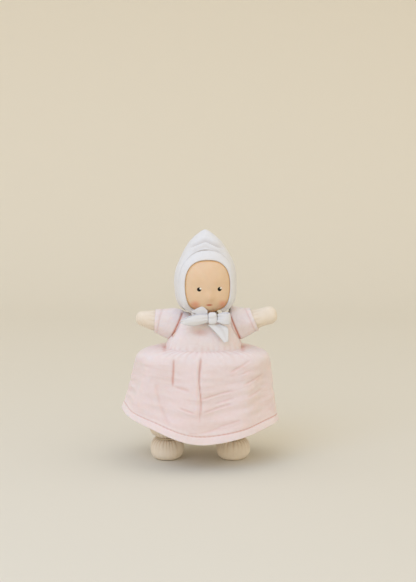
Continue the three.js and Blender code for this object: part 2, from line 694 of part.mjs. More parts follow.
// A ring of the head at an angle down from the crown, with its points crowded towards the face
function headRing(down, inset) {
  return Array.from({ length: HEAD_SIDES }, (_, i) => {
    const even = (2 * Math.PI * i) / HEAD_SIDES;
    const round = even - FRONT_CROWDING * Math.sin(even);
    const flat = Math.sin(radians(down));
    const high = Math.cos(radians(down));
    const direction = new THREE.Vector3(Math.sin(round) * flat, -Math.cos(round) * flat, high);
    return direction.multiplyScalar(headRadius(direction) - inset);
  });
}

function neckRing(radius, z) {
  return Array.from({ length: HEAD_SIDES }, (_, i) => {
    const even = (2 * Math.PI * i) / HEAD_SIDES;
    const round = even - FRONT_CROWDING * Math.sin(even);
    return new THREE.Vector3(radius * Math.sin(round), -radius * Math.cos(round), z);
  });
}

const grooveRadius = NECK_RADIUS - CLOTH - LAYER_GAP;
const flangeRadius = grooveRadius + FLANGE;
const NECK_HOLE = grooveRadius - RUBBER;
const downAngles = (count) => Array.from(
  { length: count },
  (_, i) => lerp(CROWN_ANGLE, JAW_ANGLE, i / (count - 1)),
);
piece('head', loft([
  [new THREE.Vector3(0, 0, HEAD_UP)],
  ...downAngles(HEAD_RINGS).map((down) => headRing(down, 0)),
  neckRing(grooveRadius, NECK_EDGE + 1 - HEAD_RISE),
  neckRing(grooveRadius, FLANGE_THICKNESS - FLANGE_DROP - HEAD_RISE),
  neckRing(flangeRadius, FLANGE_THICKNESS - FLANGE_DROP - HEAD_RISE - FLANGE),
  neckRing(flangeRadius, -FLANGE_DROP - HEAD_RISE),
  neckRing(NECK_HOLE, -FLANGE_DROP - HEAD_RISE),
  neckRing(NECK_HOLE, NECK_EDGE + 1 - HEAD_RISE),
  ...downAngles(HOLLOW_RINGS).toReversed().map((down) => headRing(down, RUBBER)),
  [new THREE.Vector3(0, 0, HEAD_UP - RUBBER)],
]), 'rubber', headGroup);

// Bonnet: cloth over the head from the edge round the face (share 0) to the seam down the back (share 1).
// Across runs from the corner by the doll's right cheek (-1), over the top (0), to the left corner (1).
const RIM_ANGLE = 152;
const NAPE_ANGLE = 138;
const RIM_POWER = 2.5;
const PEAK_SPREAD = 60;
const PEAK_POWER = 1.9;
const PEAK_ROUNDING = 3;
const BONNET_ROWS = [0.05, 0.15, 0.27, 0.4, 0.53, 0.66, 0.78, 0.88, 0.95, 1];
const PEAK_CROWDING = 1.2;
const BONNET_HALF_COLUMNS = 16;
const peakDirection = new THREE.Vector3(0, Math.sin(radians(PEAK_TILT)), Math.cos(radians(PEAK_TILT)));

// The edge round the face: a rounded oblong on the head, which the ties pull forward off the jaw
function rimPoint(across) {
  const angle = radians(across * RIM_ANGLE);
  const [c, s] = [Math.cos(angle), Math.sin(angle)];
  const bend = 2 / RIM_POWER;
  const x = FACE_HALF_WIDTH * Math.sign(s) * Math.abs(s) ** bend;
  const z = FACE_HALF_HEIGHT * Math.sign(c) * Math.abs(c) ** bend - FACE_DROP;
  const tall = z > 0 ? HEAD_UP : HEAD_DOWN;
  const power = headPower(z / HEAD_HALF_DEPTH);
  const left = 1 - Math.abs(x / HEAD_HALF_WIDTH) ** power - Math.abs(z / tall) ** power;
  const onHead = HEAD_HALF_DEPTH * Math.max(left, 0) ** (1 / power);
  const pulled = smoothstep(Math.abs(across) * RIM_ANGLE, 100, RIM_ANGLE);
  return new THREE.Vector3(x, -lerp(onHead, Math.max(onHead, RIM_FORWARD), pulled), z);
}

function sideDirection(across) {
  const down = radians(lerp(0, 139, Math.abs(across)));
  return new THREE.Vector3(Math.sign(across) * Math.sin(down), 0.05, Math.cos(down)).normalize();
}

function seamDirection(across) {
  const down = radians(lerp(PEAK_TILT, NAPE_ANGLE, Math.abs(across)));
  return new THREE.Vector3(0, Math.sin(down), Math.cos(down));
}

// A direction from the head's middle: a curve from the face edge, past the side of the head, to the back seam
function bonnetDirection(across, share) {
  const rim = rimPoint(across).normalize();
  const seam = seamDirection(across);
  const side = sideDirection(across).lerp(rim.clone().lerp(seam, 0.5), (1 - Math.abs(across)) ** 2);
  const away = rim.multiplyScalar((1 - share) ** 2);
  away.addScaledVector(side, 2 * share * (1 - share));
  return away.addScaledVector(seam, share ** 2).normalize();
}

function bonnetPoint(across, share, lift) {
  const direction = bonnetDirection(across, share);
  const fromPeak = Math.hypot(THREE.MathUtils.radToDeg(direction.angleTo(peakDirection)), PEAK_ROUNDING);
  const peak = PEAK_HEIGHT * Math.max(0, 1 - fromPeak / PEAK_SPREAD) ** PEAK_POWER;
  const below = THREE.MathUtils.radToDeg(Math.asin(-direction.z));
  const radius = headRadius(direction);
  const toEdge = direction.z < 0 ? BONNET_DROP / -direction.z - radius - BONNET_GAP - CLOTH : BONNET_FLARE;
  const backward = lerp(JAW_ROOM, BONNET_FLARE, smoothstep(share, 0.3, 0.9));
  const wanted = backward * smoothstep(below, 12, 54);
  const flare = Math.max(0, Math.min(wanted, toEdge));
  const rim = rimPoint(across);
  const offHead = Math.max(0, rim.length() - headRadius(rim.clone().normalize()));
  const standOff = offHead * (1 - smoothstep(share, 0, 0.6));
  return direction.multiplyScalar(radius + lift + peak + Math.max(flare, standOff));
}

// Share of the way back at which the brim, measured along the cloth, ends
function brimShare(across) {
  const probes = Array.from({ length: 21 }, (_, i) => bonnetPoint(across, i / 20, BONNET_GAP));
  const length = probes.slice(1).reduce((sum, p, i) => sum + p.distanceTo(probes[i]), 0);
  return BRIM_WIDTH / length;
}

const acrossSteps = Array.from(
  { length: 2 * BONNET_HALF_COLUMNS + 1 },
  (_, j) => {
    const even = j / BONNET_HALF_COLUMNS - 1;
    return Math.sign(even) * Math.abs(even) ** PEAK_CROWDING;
  },
);
const seamShare = SEAM_GAP / BRIM_WIDTH;

function crownGrid(lift) {
  return [0, ...BONNET_ROWS].map((row) => acrossSteps.map((across) => {
    const start = brimShare(across) * (1 + seamShare);
    return bonnetPoint(across, lerp(start, 1, row), lift);
  }));
}

function brimGrid(lift) {
  return [0, 0.5, 1].map((row) => acrossSteps.map(
    (across) => bonnetPoint(across, brimShare(across) * row, lift),
  ));
}

const crownCloth = sheet(crownGrid(BONNET_GAP + CLOTH), crownGrid(BONNET_GAP), true);
piece('bonnet_crown', crownCloth, 'whiteCotton', headGroup);
const brimCloth = sheet(brimGrid(BONNET_GAP + BRIM_CLOTH), brimGrid(BONNET_GAP));
piece('bonnet_brim', brimCloth, 'whiteCotton', headGroup);

// Bow under the chin, in the head's frame: its knot stands off the chest, so that the head can turn
const knotMiddle = new THREE.Vector3(
  KNOT_SHIFT,
  -(CHEST_HALF_DEPTH + BODICE_OUTSIDE + BOW_STAND_OFF),
  -(HEAD_DOWN + KNOT_DROP),
);
const fromKnot = (x, y, z) => new THREE.Vector3(x, y, z).add(knotMiddle);
const knot = new THREE.SphereGeometry(1, 14, 10).scale(KNOT_WIDTH / 2, KNOT_DEPTH / 2, KNOT_HEIGHT / 2);
piece('bow_knot', closedBody(knot.translate(...knotMiddle)), 'whiteCotton', headGroup);

// A loop of ribbon: out from the knot, round, and back behind itself
const LOOP_STEPS = 14;

function buildLoop(name, side, length, drop, tip) {
  const shares = Array.from({ length: LOOP_STEPS + 1 }, (_, i) => i / LOOP_STEPS);
  const edge = (end) => shares.map((share) => {
    const out = Math.sin(Math.PI * share);
    const belly = lerp(LOOP_ROOT, LOOP_HEIGHT, smoothstep(out, 0, 0.5));
    const tall = lerp(belly, tip, out ** 3) / 2;
    return fromKnot(
      side * (KNOT_WIDTH / 2 + SEAM_GAP + length * out),
      -LOOP_BELLY * Math.sin(2 * Math.PI * share)
        - LOOP_LAYER * Math.cos(Math.PI * share)
        - LOOP_FORWARD * out,
      end * tall - drop * out,
    );
  });
  piece(name, ribbon(edge(1), edge(-1), RIBBON, LOOP_STEPS), 'whiteCotton', headGroup);
}

buildLoop('bow_left_loop', 1, LEFT_LOOP_LENGTH, 0, LOOP_HEIGHT);
buildLoop('bow_right_loop', -1, RIGHT_LOOP_LENGTH, LOOP_DROP, RIGHT_LOOP_TIP);

// Tails: one hangs to the doll's left over the chest, and a short one stands up beside the chin
const TAIL_STEPS = 8;
const tailTop = -KNOT_HEIGHT / 2 - SEAM_GAP;
const tailSide = TAIL_SWING + TAIL_TIP / 2;
const tailRoot = -TAIL_WIDTH * 0.35;
const tailPoint = TAIL_SWING - TAIL_TIP / 2;
const tailNear = [
  fromKnot(tailRoot, 0, tailTop),
  fromKnot((tailRoot + tailPoint) / 2, -TAIL_FORWARD * 0.6, tailTop - TAIL_LENGTH * 0.47),
  fromKnot(tailPoint, -TAIL_FORWARD, tailTop - TAIL_LENGTH),
];
const tailFar = [
  fromKnot(TAIL_WIDTH * 0.65, 0, tailTop),
  fromKnot(tailSide, -TAIL_FORWARD * 0.6, tailTop - TAIL_LENGTH * 0.2),
  fromKnot(tailSide, -TAIL_FORWARD, tailTop - TAIL_LENGTH * 0.92),
];
piece('bow_hanging_tail', ribbon(tailNear, tailFar, RIBBON, TAIL_STEPS), 'whiteCotton', headGroup);
const tailBack = KNOT_DEPTH / 2 - RIBBON / 2;
const besideKnot = -KNOT_WIDTH / 2 - SEAM_GAP;
const tailFoot = LOOP_HEIGHT * 0.44;
const shortUpper = [
  fromKnot(besideKnot, tailBack, tailFoot + SHORT_TAIL_HEIGHT * 0.4),
  fromKnot(besideKnot - SHORT_TAIL_LENGTH * 0.35, tailBack, tailFoot + SHORT_TAIL_HEIGHT),
  fromKnot(besideKnot - SHORT_TAIL_LENGTH, tailBack, tailFoot + SHORT_TAIL_HEIGHT * 0.3),
];
const shortLower = [
  fromKnot(besideKnot, tailBack, tailFoot),
  fromKnot(besideKnot - SHORT_TAIL_LENGTH * 0.5, tailBack, tailFoot),
  fromKnot(besideKnot - SHORT_TAIL_LENGTH * 0.98, tailBack, tailFoot + SHORT_TAIL_HEIGHT * 0.15),
];
piece('bow_short_tail', ribbon(shortUpper, shortLower, RIBBON, TAIL_STEPS), 'whiteCotton', headGroup);

// Ties: from the corners of the brim, under the jaw, to the back of the knot
const TIE_STEPS = 8;
const CORNER_GAP = 0.008;

function buildTie(name, side) {
  const corner = side * (1 + CORNER_GAP);
  const lift = BONNET_GAP + BRIM_CLOTH / 2;
  const brimEnd = brimShare(side);
  const knotBack = KNOT_DEPTH / 2 + SEAM_GAP + RIBBON / 2;
  const edge = (share, rise) => {
    const start = bonnetPoint(corner, brimEnd * share, lift);
    const end = fromKnot(side * TIE_MEET, knotBack, rise);
    const under = start.clone().lerp(end, 0.5).add(new THREE.Vector3(side * TIE_SAG, -TIE_SAG, -TIE_SAG));
    return [start, under, end];
  };
  piece(name, ribbon(edge(0.2, TIE_WIDTH), edge(0.8, 0), RIBBON, TIE_STEPS), 'whiteCotton', headGroup);
}

buildTie('left_bonnet_tie', 1);
buildTie('right_bonnet_tie', -1);

export default doll;
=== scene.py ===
"""A cloth baby doll with a moulded rubber head, in a gauze dress and a pointed bonnet.

Lengths are in millimetres, +Z is up and the doll faces -Y, so its own left side is +X. surface() turns
millimetres into metres.
"""

import json

import bmesh
import bpy
import numpy as np

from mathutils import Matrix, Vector


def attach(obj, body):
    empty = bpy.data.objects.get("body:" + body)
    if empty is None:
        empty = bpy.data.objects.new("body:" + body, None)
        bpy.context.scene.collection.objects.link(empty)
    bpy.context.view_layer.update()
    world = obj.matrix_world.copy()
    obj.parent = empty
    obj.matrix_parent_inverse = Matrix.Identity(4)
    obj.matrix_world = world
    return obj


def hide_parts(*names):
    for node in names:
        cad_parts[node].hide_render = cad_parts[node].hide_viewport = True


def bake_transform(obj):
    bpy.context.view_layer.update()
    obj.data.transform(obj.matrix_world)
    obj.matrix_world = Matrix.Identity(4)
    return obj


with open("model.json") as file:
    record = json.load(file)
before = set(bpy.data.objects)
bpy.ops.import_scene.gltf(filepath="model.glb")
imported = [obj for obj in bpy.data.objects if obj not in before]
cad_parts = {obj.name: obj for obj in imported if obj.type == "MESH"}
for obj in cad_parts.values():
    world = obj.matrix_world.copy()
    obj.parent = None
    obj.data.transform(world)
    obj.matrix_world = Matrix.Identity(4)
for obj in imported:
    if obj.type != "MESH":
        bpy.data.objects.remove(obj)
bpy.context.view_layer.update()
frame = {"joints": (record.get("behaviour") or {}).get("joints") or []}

MM = 0.001
# Points nearer than this, in metres, become one
WELD = 2e-6
TURN = 2 * np.pi

# Places that the frame gives
HINGES = {joint["name"]: np.array(joint["pos_m"]) / MM for joint in frame["joints"]}
SHOULDERS = {1: HINGES["left_arm_lift"], -1: HINGES["right_arm_lift"]}
HIPS = {1: HINGES["left_leg_swing"], -1: HINGES["right_leg_swing"]}
NECK_HEIGHT = HINGES["neck_turn"][2]
LEAN = HINGES["neck_turn"][0]
HIP_HEIGHT = HIPS[1][2]

# Cloth and the room between its layers
CLOTH = 1.0
LAYER_GAP = 0.6
BODICE_OFFSET = 1.6

# Body: heights below the neck tie and above the hips, with half widths and half depths there
SEAT_HEIGHT = HIP_HEIGHT + 2
PELVIS_HEIGHT = SEAT_HEIGHT + 23
SHOULDER_HEIGHT = NECK_HEIGHT - 4.5
CHEST_HEIGHT = SHOULDER_HEIGHT - 11.6
WAIST_HEIGHT = CHEST_HEIGHT - 21.6
NECK_RADIUS = 12.6
NECK_EDGE = 2.5
PELVIS = (45, 31.5)
WAIST = (42, 31.5)
CHEST = (32, 26.5)
SHOULDER = (22.5, 19)
SEAT_POWER = 2.4
SEAT_ROUNDING = 1.15
SOCKET_GAP = 0.8

# Limbs
ARM_LENGTH = {1: 44.5, -1: 40.5}
ARM_RADIUS = 12.6
HAND_RADIUS = 10.4
HAND_BLUNTNESS = 2.5
ARM_SEAM_ANGLE = 0.9
HAND_TAPER = {1: 0.04, -1: 0.2}
ARM_RISE = {1: 15.5, -1: 11}
SLEEVE_LENGTH = 18.5
SLEEVE_REACH = 26.0
ARMHOLE_GAP = 1.2
SLEEVE_ROOT = (17.8, 14.6)
CUFF_SLANT = 0.14
SLEEVE_PUFF = {1: 3.5, -1: 0.5}
SLEEVE_DIP = {1: 5, -1: 1.8}
DIP_REACH = {1: (3.5, 8.5), -1: (7, 12)}
ARMHOLES = (((-19.4, 171.4), (-30.5, 147)), ((35, 166.8), (45.2, 142.5)))
UNDER_BOW = (1, 152.5)
HIP_RADIUS = 16.5
LEG_RADIUS = 20.8
ANKLE_HEIGHT = 25
ANKLE_RADIUS = 11.5
ANKLE_GROOVE = 1.5
FOOT_RADIUS = 19.4
SOLE_RADIUS = 10.5
THREAD_RADIUS = 0.8
SEAM_GAP = 0.35

# Skirt
SKIRT_PUFF = (76, 42)
SKIRT_HEM = (89.5, 60)
HEM_FRONT_HEIGHT = 31.5
HEM_SIDE_RISE = 22
HEM_TILT = 6
HEM_ROUNDING = 0.3
HEM_DEPTH = 9
FOLD_COUNT = 8
FOLD_HEIGHT = 2.2
SKIRT_TOP = WAIST_HEIGHT - SEAM_GAP
FRONT_DROP = SKIRT_TOP - HEM_FRONT_HEIGHT
HEM_SHARE = 1 - HEM_DEPTH / FRONT_DROP

# Head, in its own frame about its middle
HEAD_RISE = 38.1
HEAD_TURN = np.radians(5)
HEAD_HALF_WIDTH = 33.3
HEAD_HALF_DEPTH = 34.5
HEAD_UP = 35.5
HEAD_DOWN = 33
HEAD_POWER = 2.2
JAW_POWER = 2.7
FACE_SHIFT = 1.4
EYE_SPACING = 22.8
EYE_DROP = 5.6
EYE_RADIUS = 2.35
NOSE_DROP = 14.1
MOUTH_DROP = 23.5
CHEEK_SPACING = 31
CHEEK_DROP = 23.5
CHIN_DROP = 29.5
CHIN_FULLNESS = 2.2
FLANGE_DROP = 6.5
FLANGE_LIP = 1.4
GROOVE_REACH = 3.5

# Bonnet and bow, in the head's frame
FACE_HALF_WIDTH = 24.8
FACE_HALF_HEIGHT = 28.7
FACE_DROP = 3.3
RIM_SHADE_WIDTH = 1.6
RIM_ANGLE = 152
RIM_POWER = 2.5
RIM_FORWARD = 21
NAPE_ANGLE = 138
SIDE_ANGLE = 139
BRIM_WIDTH = 14.6
BRIM_CLOTH = 1.6
PEAK_HEIGHT = 21.2
PEAK_TILT = 8
PEAK_SPREAD = 60
PEAK_POWER = 1.9
PEAK_ROUNDING = 3
BONNET_GAP = 1
BONNET_FLARE = 10
JAW_ROOM = 2
BONNET_DROP = 36.5
RIBBON = 1.2
RIBBON_COLUMNS = 22
RIBBON_ROWS = 40
KNOT = np.array([4.8, -(CHEST[1] + BODICE_OFFSET + 5), -(HEAD_DOWN + 5.1)])
KNOT_SIZE = np.array([10, 8, 13.6])
KNOT_POWER = 3.4
LOOP_LENGTH = {1: 14, -1: 29.5}
LOOP_DROP = {1: 0, -1: 3.1}
LOOP_TIP = {1: 12.4, -1: 3.5}
LOOP_HEIGHT = 12.4
LOOP_ROOT = 9
LOOP_TURN = 3
TAIL_LENGTH = 20
TAIL_WIDTH = 15.3
TAIL_TIP = 4.3
TAIL_SWING = 15
TAIL_FORWARD = 4.5
SHORT_TAIL_LENGTH = 18
SHORT_TAIL_HEIGHT = 7.3
SHORT_TAIL_TUCK = 2.5
SHORT_TAIL_AREA = 0.000135
TIE_WIDTH = 6
TIE_SAG = 2.5
TIE_CORNER = 1.008
TIE_DROP = 4
TIE_ASIDE = 1.2
TIE_START = {1: 0.55, -1: 0.3}
TIE_END = {1: 1.4, -1: 1.9}
TIE_AREA = {1: 0.00015, -1: 0.00029}

# Finishes: uneven yarn about 4.5 mm long, the height of a thread and the light's way into cloth, in metres
SLUB_SCALE = 220.0
THREAD_LIFT = 0.0003
CLOTH_DEPTH = 0.002
CLOTH_GLOW = (1.0, 0.65, 0.5)
# The rubber: the light's way into it in metres, blotches about 8 mm wide and its tones
RUBBER_DEPTH = 0.004
RUBBER_GLOW = (1.0, 0.5, 0.3)
MOTTLE_SCALE = 0.12
SKIN = "DEC09E"
PALE_SKIN = "E6CBAD"
RIM_SHADE = "DCA866"
# The face paint: half widths and half heights, the glint's place in the eye, and the colours
CHEEK_SIZE = (4.1, 3.8)
MOUTH_SIZE = (3.2, 1.0)
GLINT_SIZE = (1.0, 1.0)
GLINT_PLACE = np.array([1.4, 1.0])
BLUSH = "DC8C72"
BLUSH_SHARE = 0.68
LIPS = "C06A50"
EYE_BLACK = "060403"
GLINT = "F2EFEA"


def lerp(a, b, share):
    """The value a share of the way from a to b."""
    return a + (b - a) * share


def smoothstep(x, low, high):
    """Rises smoothly from 0 at low to 1 at high."""
    share = np.clip((x - low) / (high - low), 0, 1)
    return share * share * (3 - 2 * share)


def bump(x, spread):
    """A bell shape: 1 at x = 0, falling off over the spread."""
    return np.exp(-((x / spread) ** 2))


def unit(vectors):
    """Vectors brought to length 1."""
    return vectors / np.linalg.norm(vectors, axis=-1, keepdims=True)


def smooth_curve(knots, values, x):
    """A smooth curve through values at the knots, with each knot's slope taken from its neighbours."""
    knots, values = np.asarray(knots, float), np.asarray(values, float)
    slopes = np.gradient(values, knots)
    i = np.clip(np.searchsorted(knots, x) - 1, 0, len(knots) - 2)
    step = knots[i + 1] - knots[i]
    t = np.clip((x - knots[i]) / step, 0, 1)
    rise = (3 - 2 * t) * t * t
    ease_out, ease_in = t * (1 - t) ** 2, t * t * (t - 1)
    return lerp(values[i], values[i + 1], rise) + step * (slopes[i] * ease_out + slopes[i + 1] * ease_in)


def waves(seed, u, v, u_range, v_range, count=9):
    """A smooth random field: waves over u and v whose repeats per millimetre lie in the two ranges."""
    rng = np.random.default_rng(seed)
    total = 0
    for _ in range(count):
        fu = rng.uniform(*u_range) * rng.choice([-1, 1])
        fv = rng.uniform(*v_range)
        total = total + np.sin(TURN * (fu * u + fv * v + rng.uniform()))
    return total / np.sqrt(count / 2)


def round_waves(seed, angle, along, turns, along_range, count=9):
    """A smooth random field round a ring: waves with whole numbers of turns, so that the ring closes."""
    rng = np.random.default_rng(seed)
    total = 0
    for _ in range(count):
        n = rng.integers(turns[0], turns[1] + 1) * rng.choice([-1, 1])
        total = total + np.sin(n * angle + TURN * (rng.uniform(*along_range) * along + rng.uniform()))
    return total / np.sqrt(count / 2)


def normals(points, loop_columns):
    """Unit normals of a grid of points, from the cross product of its two directions, turned outwards."""
    if loop_columns:
        across = np.roll(points, -1, axis=1) - np.roll(points, 1, axis=1)
    else:
        across = np.gradient(points, axis=1)
    facing = np.cross(across, np.gradient(points, axis=0))
    facing /= np.linalg.norm(facing, axis=-1, keepdims=True) + 1e-9
    away = points - points.mean(axis=(0, 1))
    return facing * np.sign(np.sum(facing * away))


def two_faced(outer, inner, pinch=False):
    """The outer face's rows, then the inner face's rows backwards, so that looped rows close the cloth.

    With a pinch, the two faces meet along the first and last columns.
    """
    if pinch:
        outer, inner = outer.copy(), inner.copy()
        for edge in (0, -1):
            middle = (outer[:, edge] + inner[:, edge]) / 2
            outer[:, edge] = middle
            inner[:, edge] = middle
    return np.concatenate([outer, inner[::-1]])


def surface(name, points, spans, material, loop_rows=False, loop_columns=True, painted_shade=None):
    """One mesh through a grid of points, rows by columns. A looped way joins its last line to its first.

    spans are the cloth's width and length in millimetres, which the UV map spreads evenly over the grid.
    crease, from 0 to 1 at each point, is the share of painted shade mixed into the colour there, most down
    in folds and seams.
    If it has rows for the outer face alone, the inner face takes the same ones backwards.
    """
    rows, columns = points.shape[:2]
    i, j = np.meshgrid(
        np.arange(rows if loop_rows else rows - 1),
        np.arange(columns if loop_columns else columns - 1),
        indexing="ij",
    )
    corner_i = np.stack([i, i, i + 1, i + 1], axis=-1).reshape(-1, 4)
    corner_j = np.stack([j, j + 1, j + 1, j], axis=-1).reshape(-1, 4)
    corners = (corner_i % rows) * columns + corner_j % columns
    mesh = bpy.data.meshes.new(name)
    mesh.vertices.add(rows * columns)
    mesh.vertices.foreach_set("co", (points * MM).astype(np.float32).ravel())
    mesh.loops.add(corners.size)
    mesh.loops.foreach_set("vertex_index", corners.astype(np.int32).ravel())
    mesh.polygons.add(len(corners))
    mesh.polygons.foreach_set("loop_start", np.arange(0, corners.size, 4, dtype=np.int32))
    mesh.update(calc_edges=True)
    uv = np.stack([corner_j / columns * spans[0], corner_i / rows * spans[1]], axis=-1)
    mesh.uv_layers.new(name="cloth").data.foreach_set("uv", uv.astype(np.float32).ravel())
    depth = np.zeros((rows, columns)) if painted_shade is None else painted_shade
    if len(depth) < rows:
        depth = two_faced(depth, depth)
    folds = mesh.attributes.new("painted_shade", "FLOAT", "POINT")
    folds.data.foreach_set("value", depth.astype(np.float32).ravel())
    made = bmesh.new()
    made.from_mesh(mesh)
    bmesh.ops.remove_doubles(made, verts=made.verts, dist=WELD)
    bmesh.ops.recalc_face_normals(made, faces=made.faces)
    made.to_mesh(mesh)
    made.free()
    mesh.shade_smooth()
    mesh.materials.append(material)
    piece = bpy.data.objects.new(name, mesh)
    bpy.context.scene.collection.objects.link(piece)
    return piece


def settle(piece, body, slot, *nodes):
    """The piece rides on a body and replaces the named nodes. slot, a material slot of the record, is not
    used.
    """
    if body:
        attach(piece, body)
    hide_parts(*nodes)


def linear(colour):
    """A colour written as six hexadecimal digits, in linear light."""
    share = np.array([int(colour[i:i + 2], 16) for i in (0, 2, 4)]) / 255
    light = np.where(share <= 0.04045, share / 12.92, ((share + 0.055) / 1.055) ** 2.4)
    return (*light.tolist(), 1.0)


def add_node(tree, kind, inputs=None, output=0, **settings):
    """Adds a shader node with its settings, fills its inputs with numbers or links, gives one output."""
    made = tree.nodes.new("ShaderNode" + kind)
    for key, value in settings.items():
        setattr(made, key, value)
    for key, value in (inputs or {}).items():
        if isinstance(value, bpy.types.NodeSocket):
            tree.links.new(value, made.inputs[key])
        else:
            made.inputs[key].default_value = value
    return made.outputs[output]


def new_material(name, roughness, **inputs):
    """A material with one main shader, given with its node tree and that shader."""
    material = bpy.data.materials.new(name)
    material.use_nodes = True
    tree = material.node_tree
    shader = tree.nodes["Principled BSDF"]
    shader.inputs["Roughness"].default_value = roughness
    for key, value in inputs.items():
        shader.inputs[key.replace("_", " ")].default_value = value
    return material, tree, shader


def cloth_material(name, colour, shade, deep, thread, rib, lift, sheen, through=0.0):
    """Cloth with threads drawn from the UV map: rows a thread apart, crossed by rows rib threads apart.

    Colour and shade are the two tones of its uneven yarn, deep is the colour of the shade painted in its
    folds and seams, and through is the share of the light that passes into the cloth.
    """
    material, tree, shader = new_material(
        name, 0.9, Sheen_Weight=sheen, Sheen_Roughness=0.6,
        Subsurface_Weight=through, Subsurface_Scale=CLOTH_DEPTH,
    )
    shader.inputs["Subsurface Radius"].default_value = CLOTH_GLOW
    place = add_node(tree, "TexCoord", output="Object")
    cloth = add_node(tree, "UVMap", uv_map="cloth")
    rows = {}
    for way, spacing in (("X", thread), ("Y", thread * rib)):
        along = add_node(tree, "SeparateXYZ", {0: cloth}, way)
        turns = add_node(tree, "Math", {0: along, 1: TURN / spacing}, operation="MULTIPLY")
        rows[way] = add_node(tree, "Math", {0: turns}, operation="SINE")
    threads = add_node(tree, "Math", {0: rows["X"], 1: rows["Y"]}, operation="MULTIPLY")
    slub = add_node(tree, "TexNoise", {"Vector": place, "Scale": SLUB_SCALE, "Detail": 4.0})
    height = add_node(tree, "Math", {0: threads, 1: 0.5, 2: slub}, operation="MULTIPLY_ADD")
    yarn = add_node(tree, "Mix", {0: slub, 6: linear(shade), 7: linear(colour)}, 2, data_type="RGBA")
    painted_shade = add_node(tree, "Attribute", output="Fac", attribute_name="painted_shade")
    # Painted shade: the deep colour is mixed in down in folds and seams, where the mesh says so.
    yarn_and_painted_shade = add_node(tree, "Mix", {0: painted_shade, 6: yarn, 7: linear(deep)}, 2, data_type="RGBA")
    relief = add_node(tree, "Bump", {"Strength": lift, "Distance": THREAD_LIFT, "Height": height})
    tree.links.new(yarn_and_painted_shade, shader.inputs["Base Color"])
    tree.links.new(relief, shader.inputs["Normal"])
    return material


def painted_spot(tree, place, middle, size, softness):
    """1 inside an oval on the face and 0 outside it, with a soft edge. Its sizes are along X and Z."""
    oval = add_node(
        tree, "Mapping",
        {"Vector": place, "Location": (middle[0], 0, middle[1]), "Scale": (size[0], 1e6, size[1])},
        vector_type="TEXTURE",
    )
    reach = add_node(tree, "VectorMath", {0: oval}, "Value", operation="LENGTH")
    edge = {"Value": reach, "From Min": 1 + softness, "From Max": 1 - softness}
    return add_node(tree, "MapRange", edge, interpolation_type="SMOOTHSTEP")


def rubber_material():
    """Skin-coloured natural rubber with the face painted on it, in millimetres of the head's frame."""
    material, tree, shader = new_material(
        "skin-coloured satin rubber", 0.5, IOR=1.52, Specular_IOR_Level=0.25,
        Subsurface_Weight=0.2, Subsurface_Scale=RUBBER_DEPTH,
    )
    shader.inputs["Subsurface Radius"].default_value = RUBBER_GLOW
    place = add_node(
        tree, "Mapping",
        {
            "Vector": add_node(tree, "TexCoord", output="Object"),
            "Location": (LEAN * MM, 0, (NECK_HEIGHT + HEAD_RISE) * MM),
            "Rotation": (0, 0, HEAD_TURN),
            "Scale": (MM, MM, MM),
        },
        vector_type="TEXTURE",
    )
    mottle = add_node(tree, "TexNoise", {"Vector": place, "Scale": MOTTLE_SCALE, "Detail": 2.0})
    tones = {0: mottle, 6: linear(SKIN), 7: linear(PALE_SKIN)}
    colour = add_node(tree, "Mix", tones, 2, data_type="RGBA")
    shaded = add_node(tree, "Attribute", output="Fac", attribute_name="painted_shade")
    paint = [(shaded, RIM_SHADE)]
    polish = 0.5
    for side in (-1, 1):
        cheek = (FACE_SHIFT + side * CHEEK_SPACING / 2, -CHEEK_DROP)
        blush = painted_spot(tree, place, cheek, CHEEK_SIZE, 0.95)
        paint.append((add_node(tree, "Math", {0: blush, 1: BLUSH_SHARE}, operation="MULTIPLY"), BLUSH))
        middle = np.array([FACE_SHIFT + side * EYE_SPACING / 2, -EYE_DROP])
        eye = painted_spot(tree, place, middle, (EYE_RADIUS, EYE_RADIUS), 0.1)
        paint.append((eye, EYE_BLACK))
        # The glint is a painted highlight: a pale spot at the upper side of each eye.
        paint.append((painted_spot(tree, place, middle + GLINT_PLACE, GLINT_SIZE, 0.25), GLINT))
        polish = add_node(tree, "Math", {0: eye, 1: -0.12, 2: polish}, operation="MULTIPLY_ADD")
    mouth = painted_spot(tree, place, (FACE_SHIFT, -MOUTH_DROP), MOUTH_SIZE, 0.6)
    paint.append((mouth, LIPS))
    for share, tone in paint:
        colour = add_node(tree, "Mix", {0: share, 6: colour, 7: linear(tone)}, 2, data_type="RGBA")
    tree.links.new(colour, shader.inputs["Base Color"])
    tree.links.new(polish, shader.inputs["Roughness"])
    return material


def plain_material(name, colour, roughness):
    """One even colour."""
    material, _, shader = new_material(name, roughness)
    shader.inputs["Base Color"].default_value = linear(colour)
    return material


# Plain cotton: dull white, with threads 0.9 mm apart so that they still show at this size, and grey shade
# painted in its folds
COTTON = cloth_material("white plain-weave cotton", "E2E3E7", "DCDDE0", "A3978C",
                        thread=0.9, rib=1.0, lift=0.2, sheen=0.15)
# Double gauze: open, crinkled and soft, pale pink, letting light through, with salmon shade painted in its
# folds
GAUZE = cloth_material("pale pink double gauze", "EBE1E2", "E5D6D5", "C6806A",
                       thread=1.2, rib=1.0, lift=0.3, sheen=0.2, through=0.4)
# Fine cotton jersey: ivory, with close upright ribs and ochre shade painted in its folds
JERSEY = cloth_material("ivory cotton jersey", "EAE0D2", "E2D5C2", "B9966A",
                        thread=0.8, rib=1.6, lift=0.2, sheen=0.2)
# Twisted cotton thread: dull, darker than the jersey it draws in, with a slanting twist
THREAD = cloth_material("ivory cotton thread", "DDD0B6", "CDBE9F", "A98F69",
                        thread=0.6, rib=1.0, lift=0.3, sheen=0.1)
# Moulded natural rubber: smooth and satin, with light glowing a little way into the skin colour
RUBBER = rubber_material()


def lean_at(z):
    """How far the body's middle lies to the doll's left: it leans evenly from seat to shoulders."""
    return LEAN * np.clip((z - SEAT_HEIGHT) / (SHOULDER_HEIGHT - SEAT_HEIGHT), 0, 1)


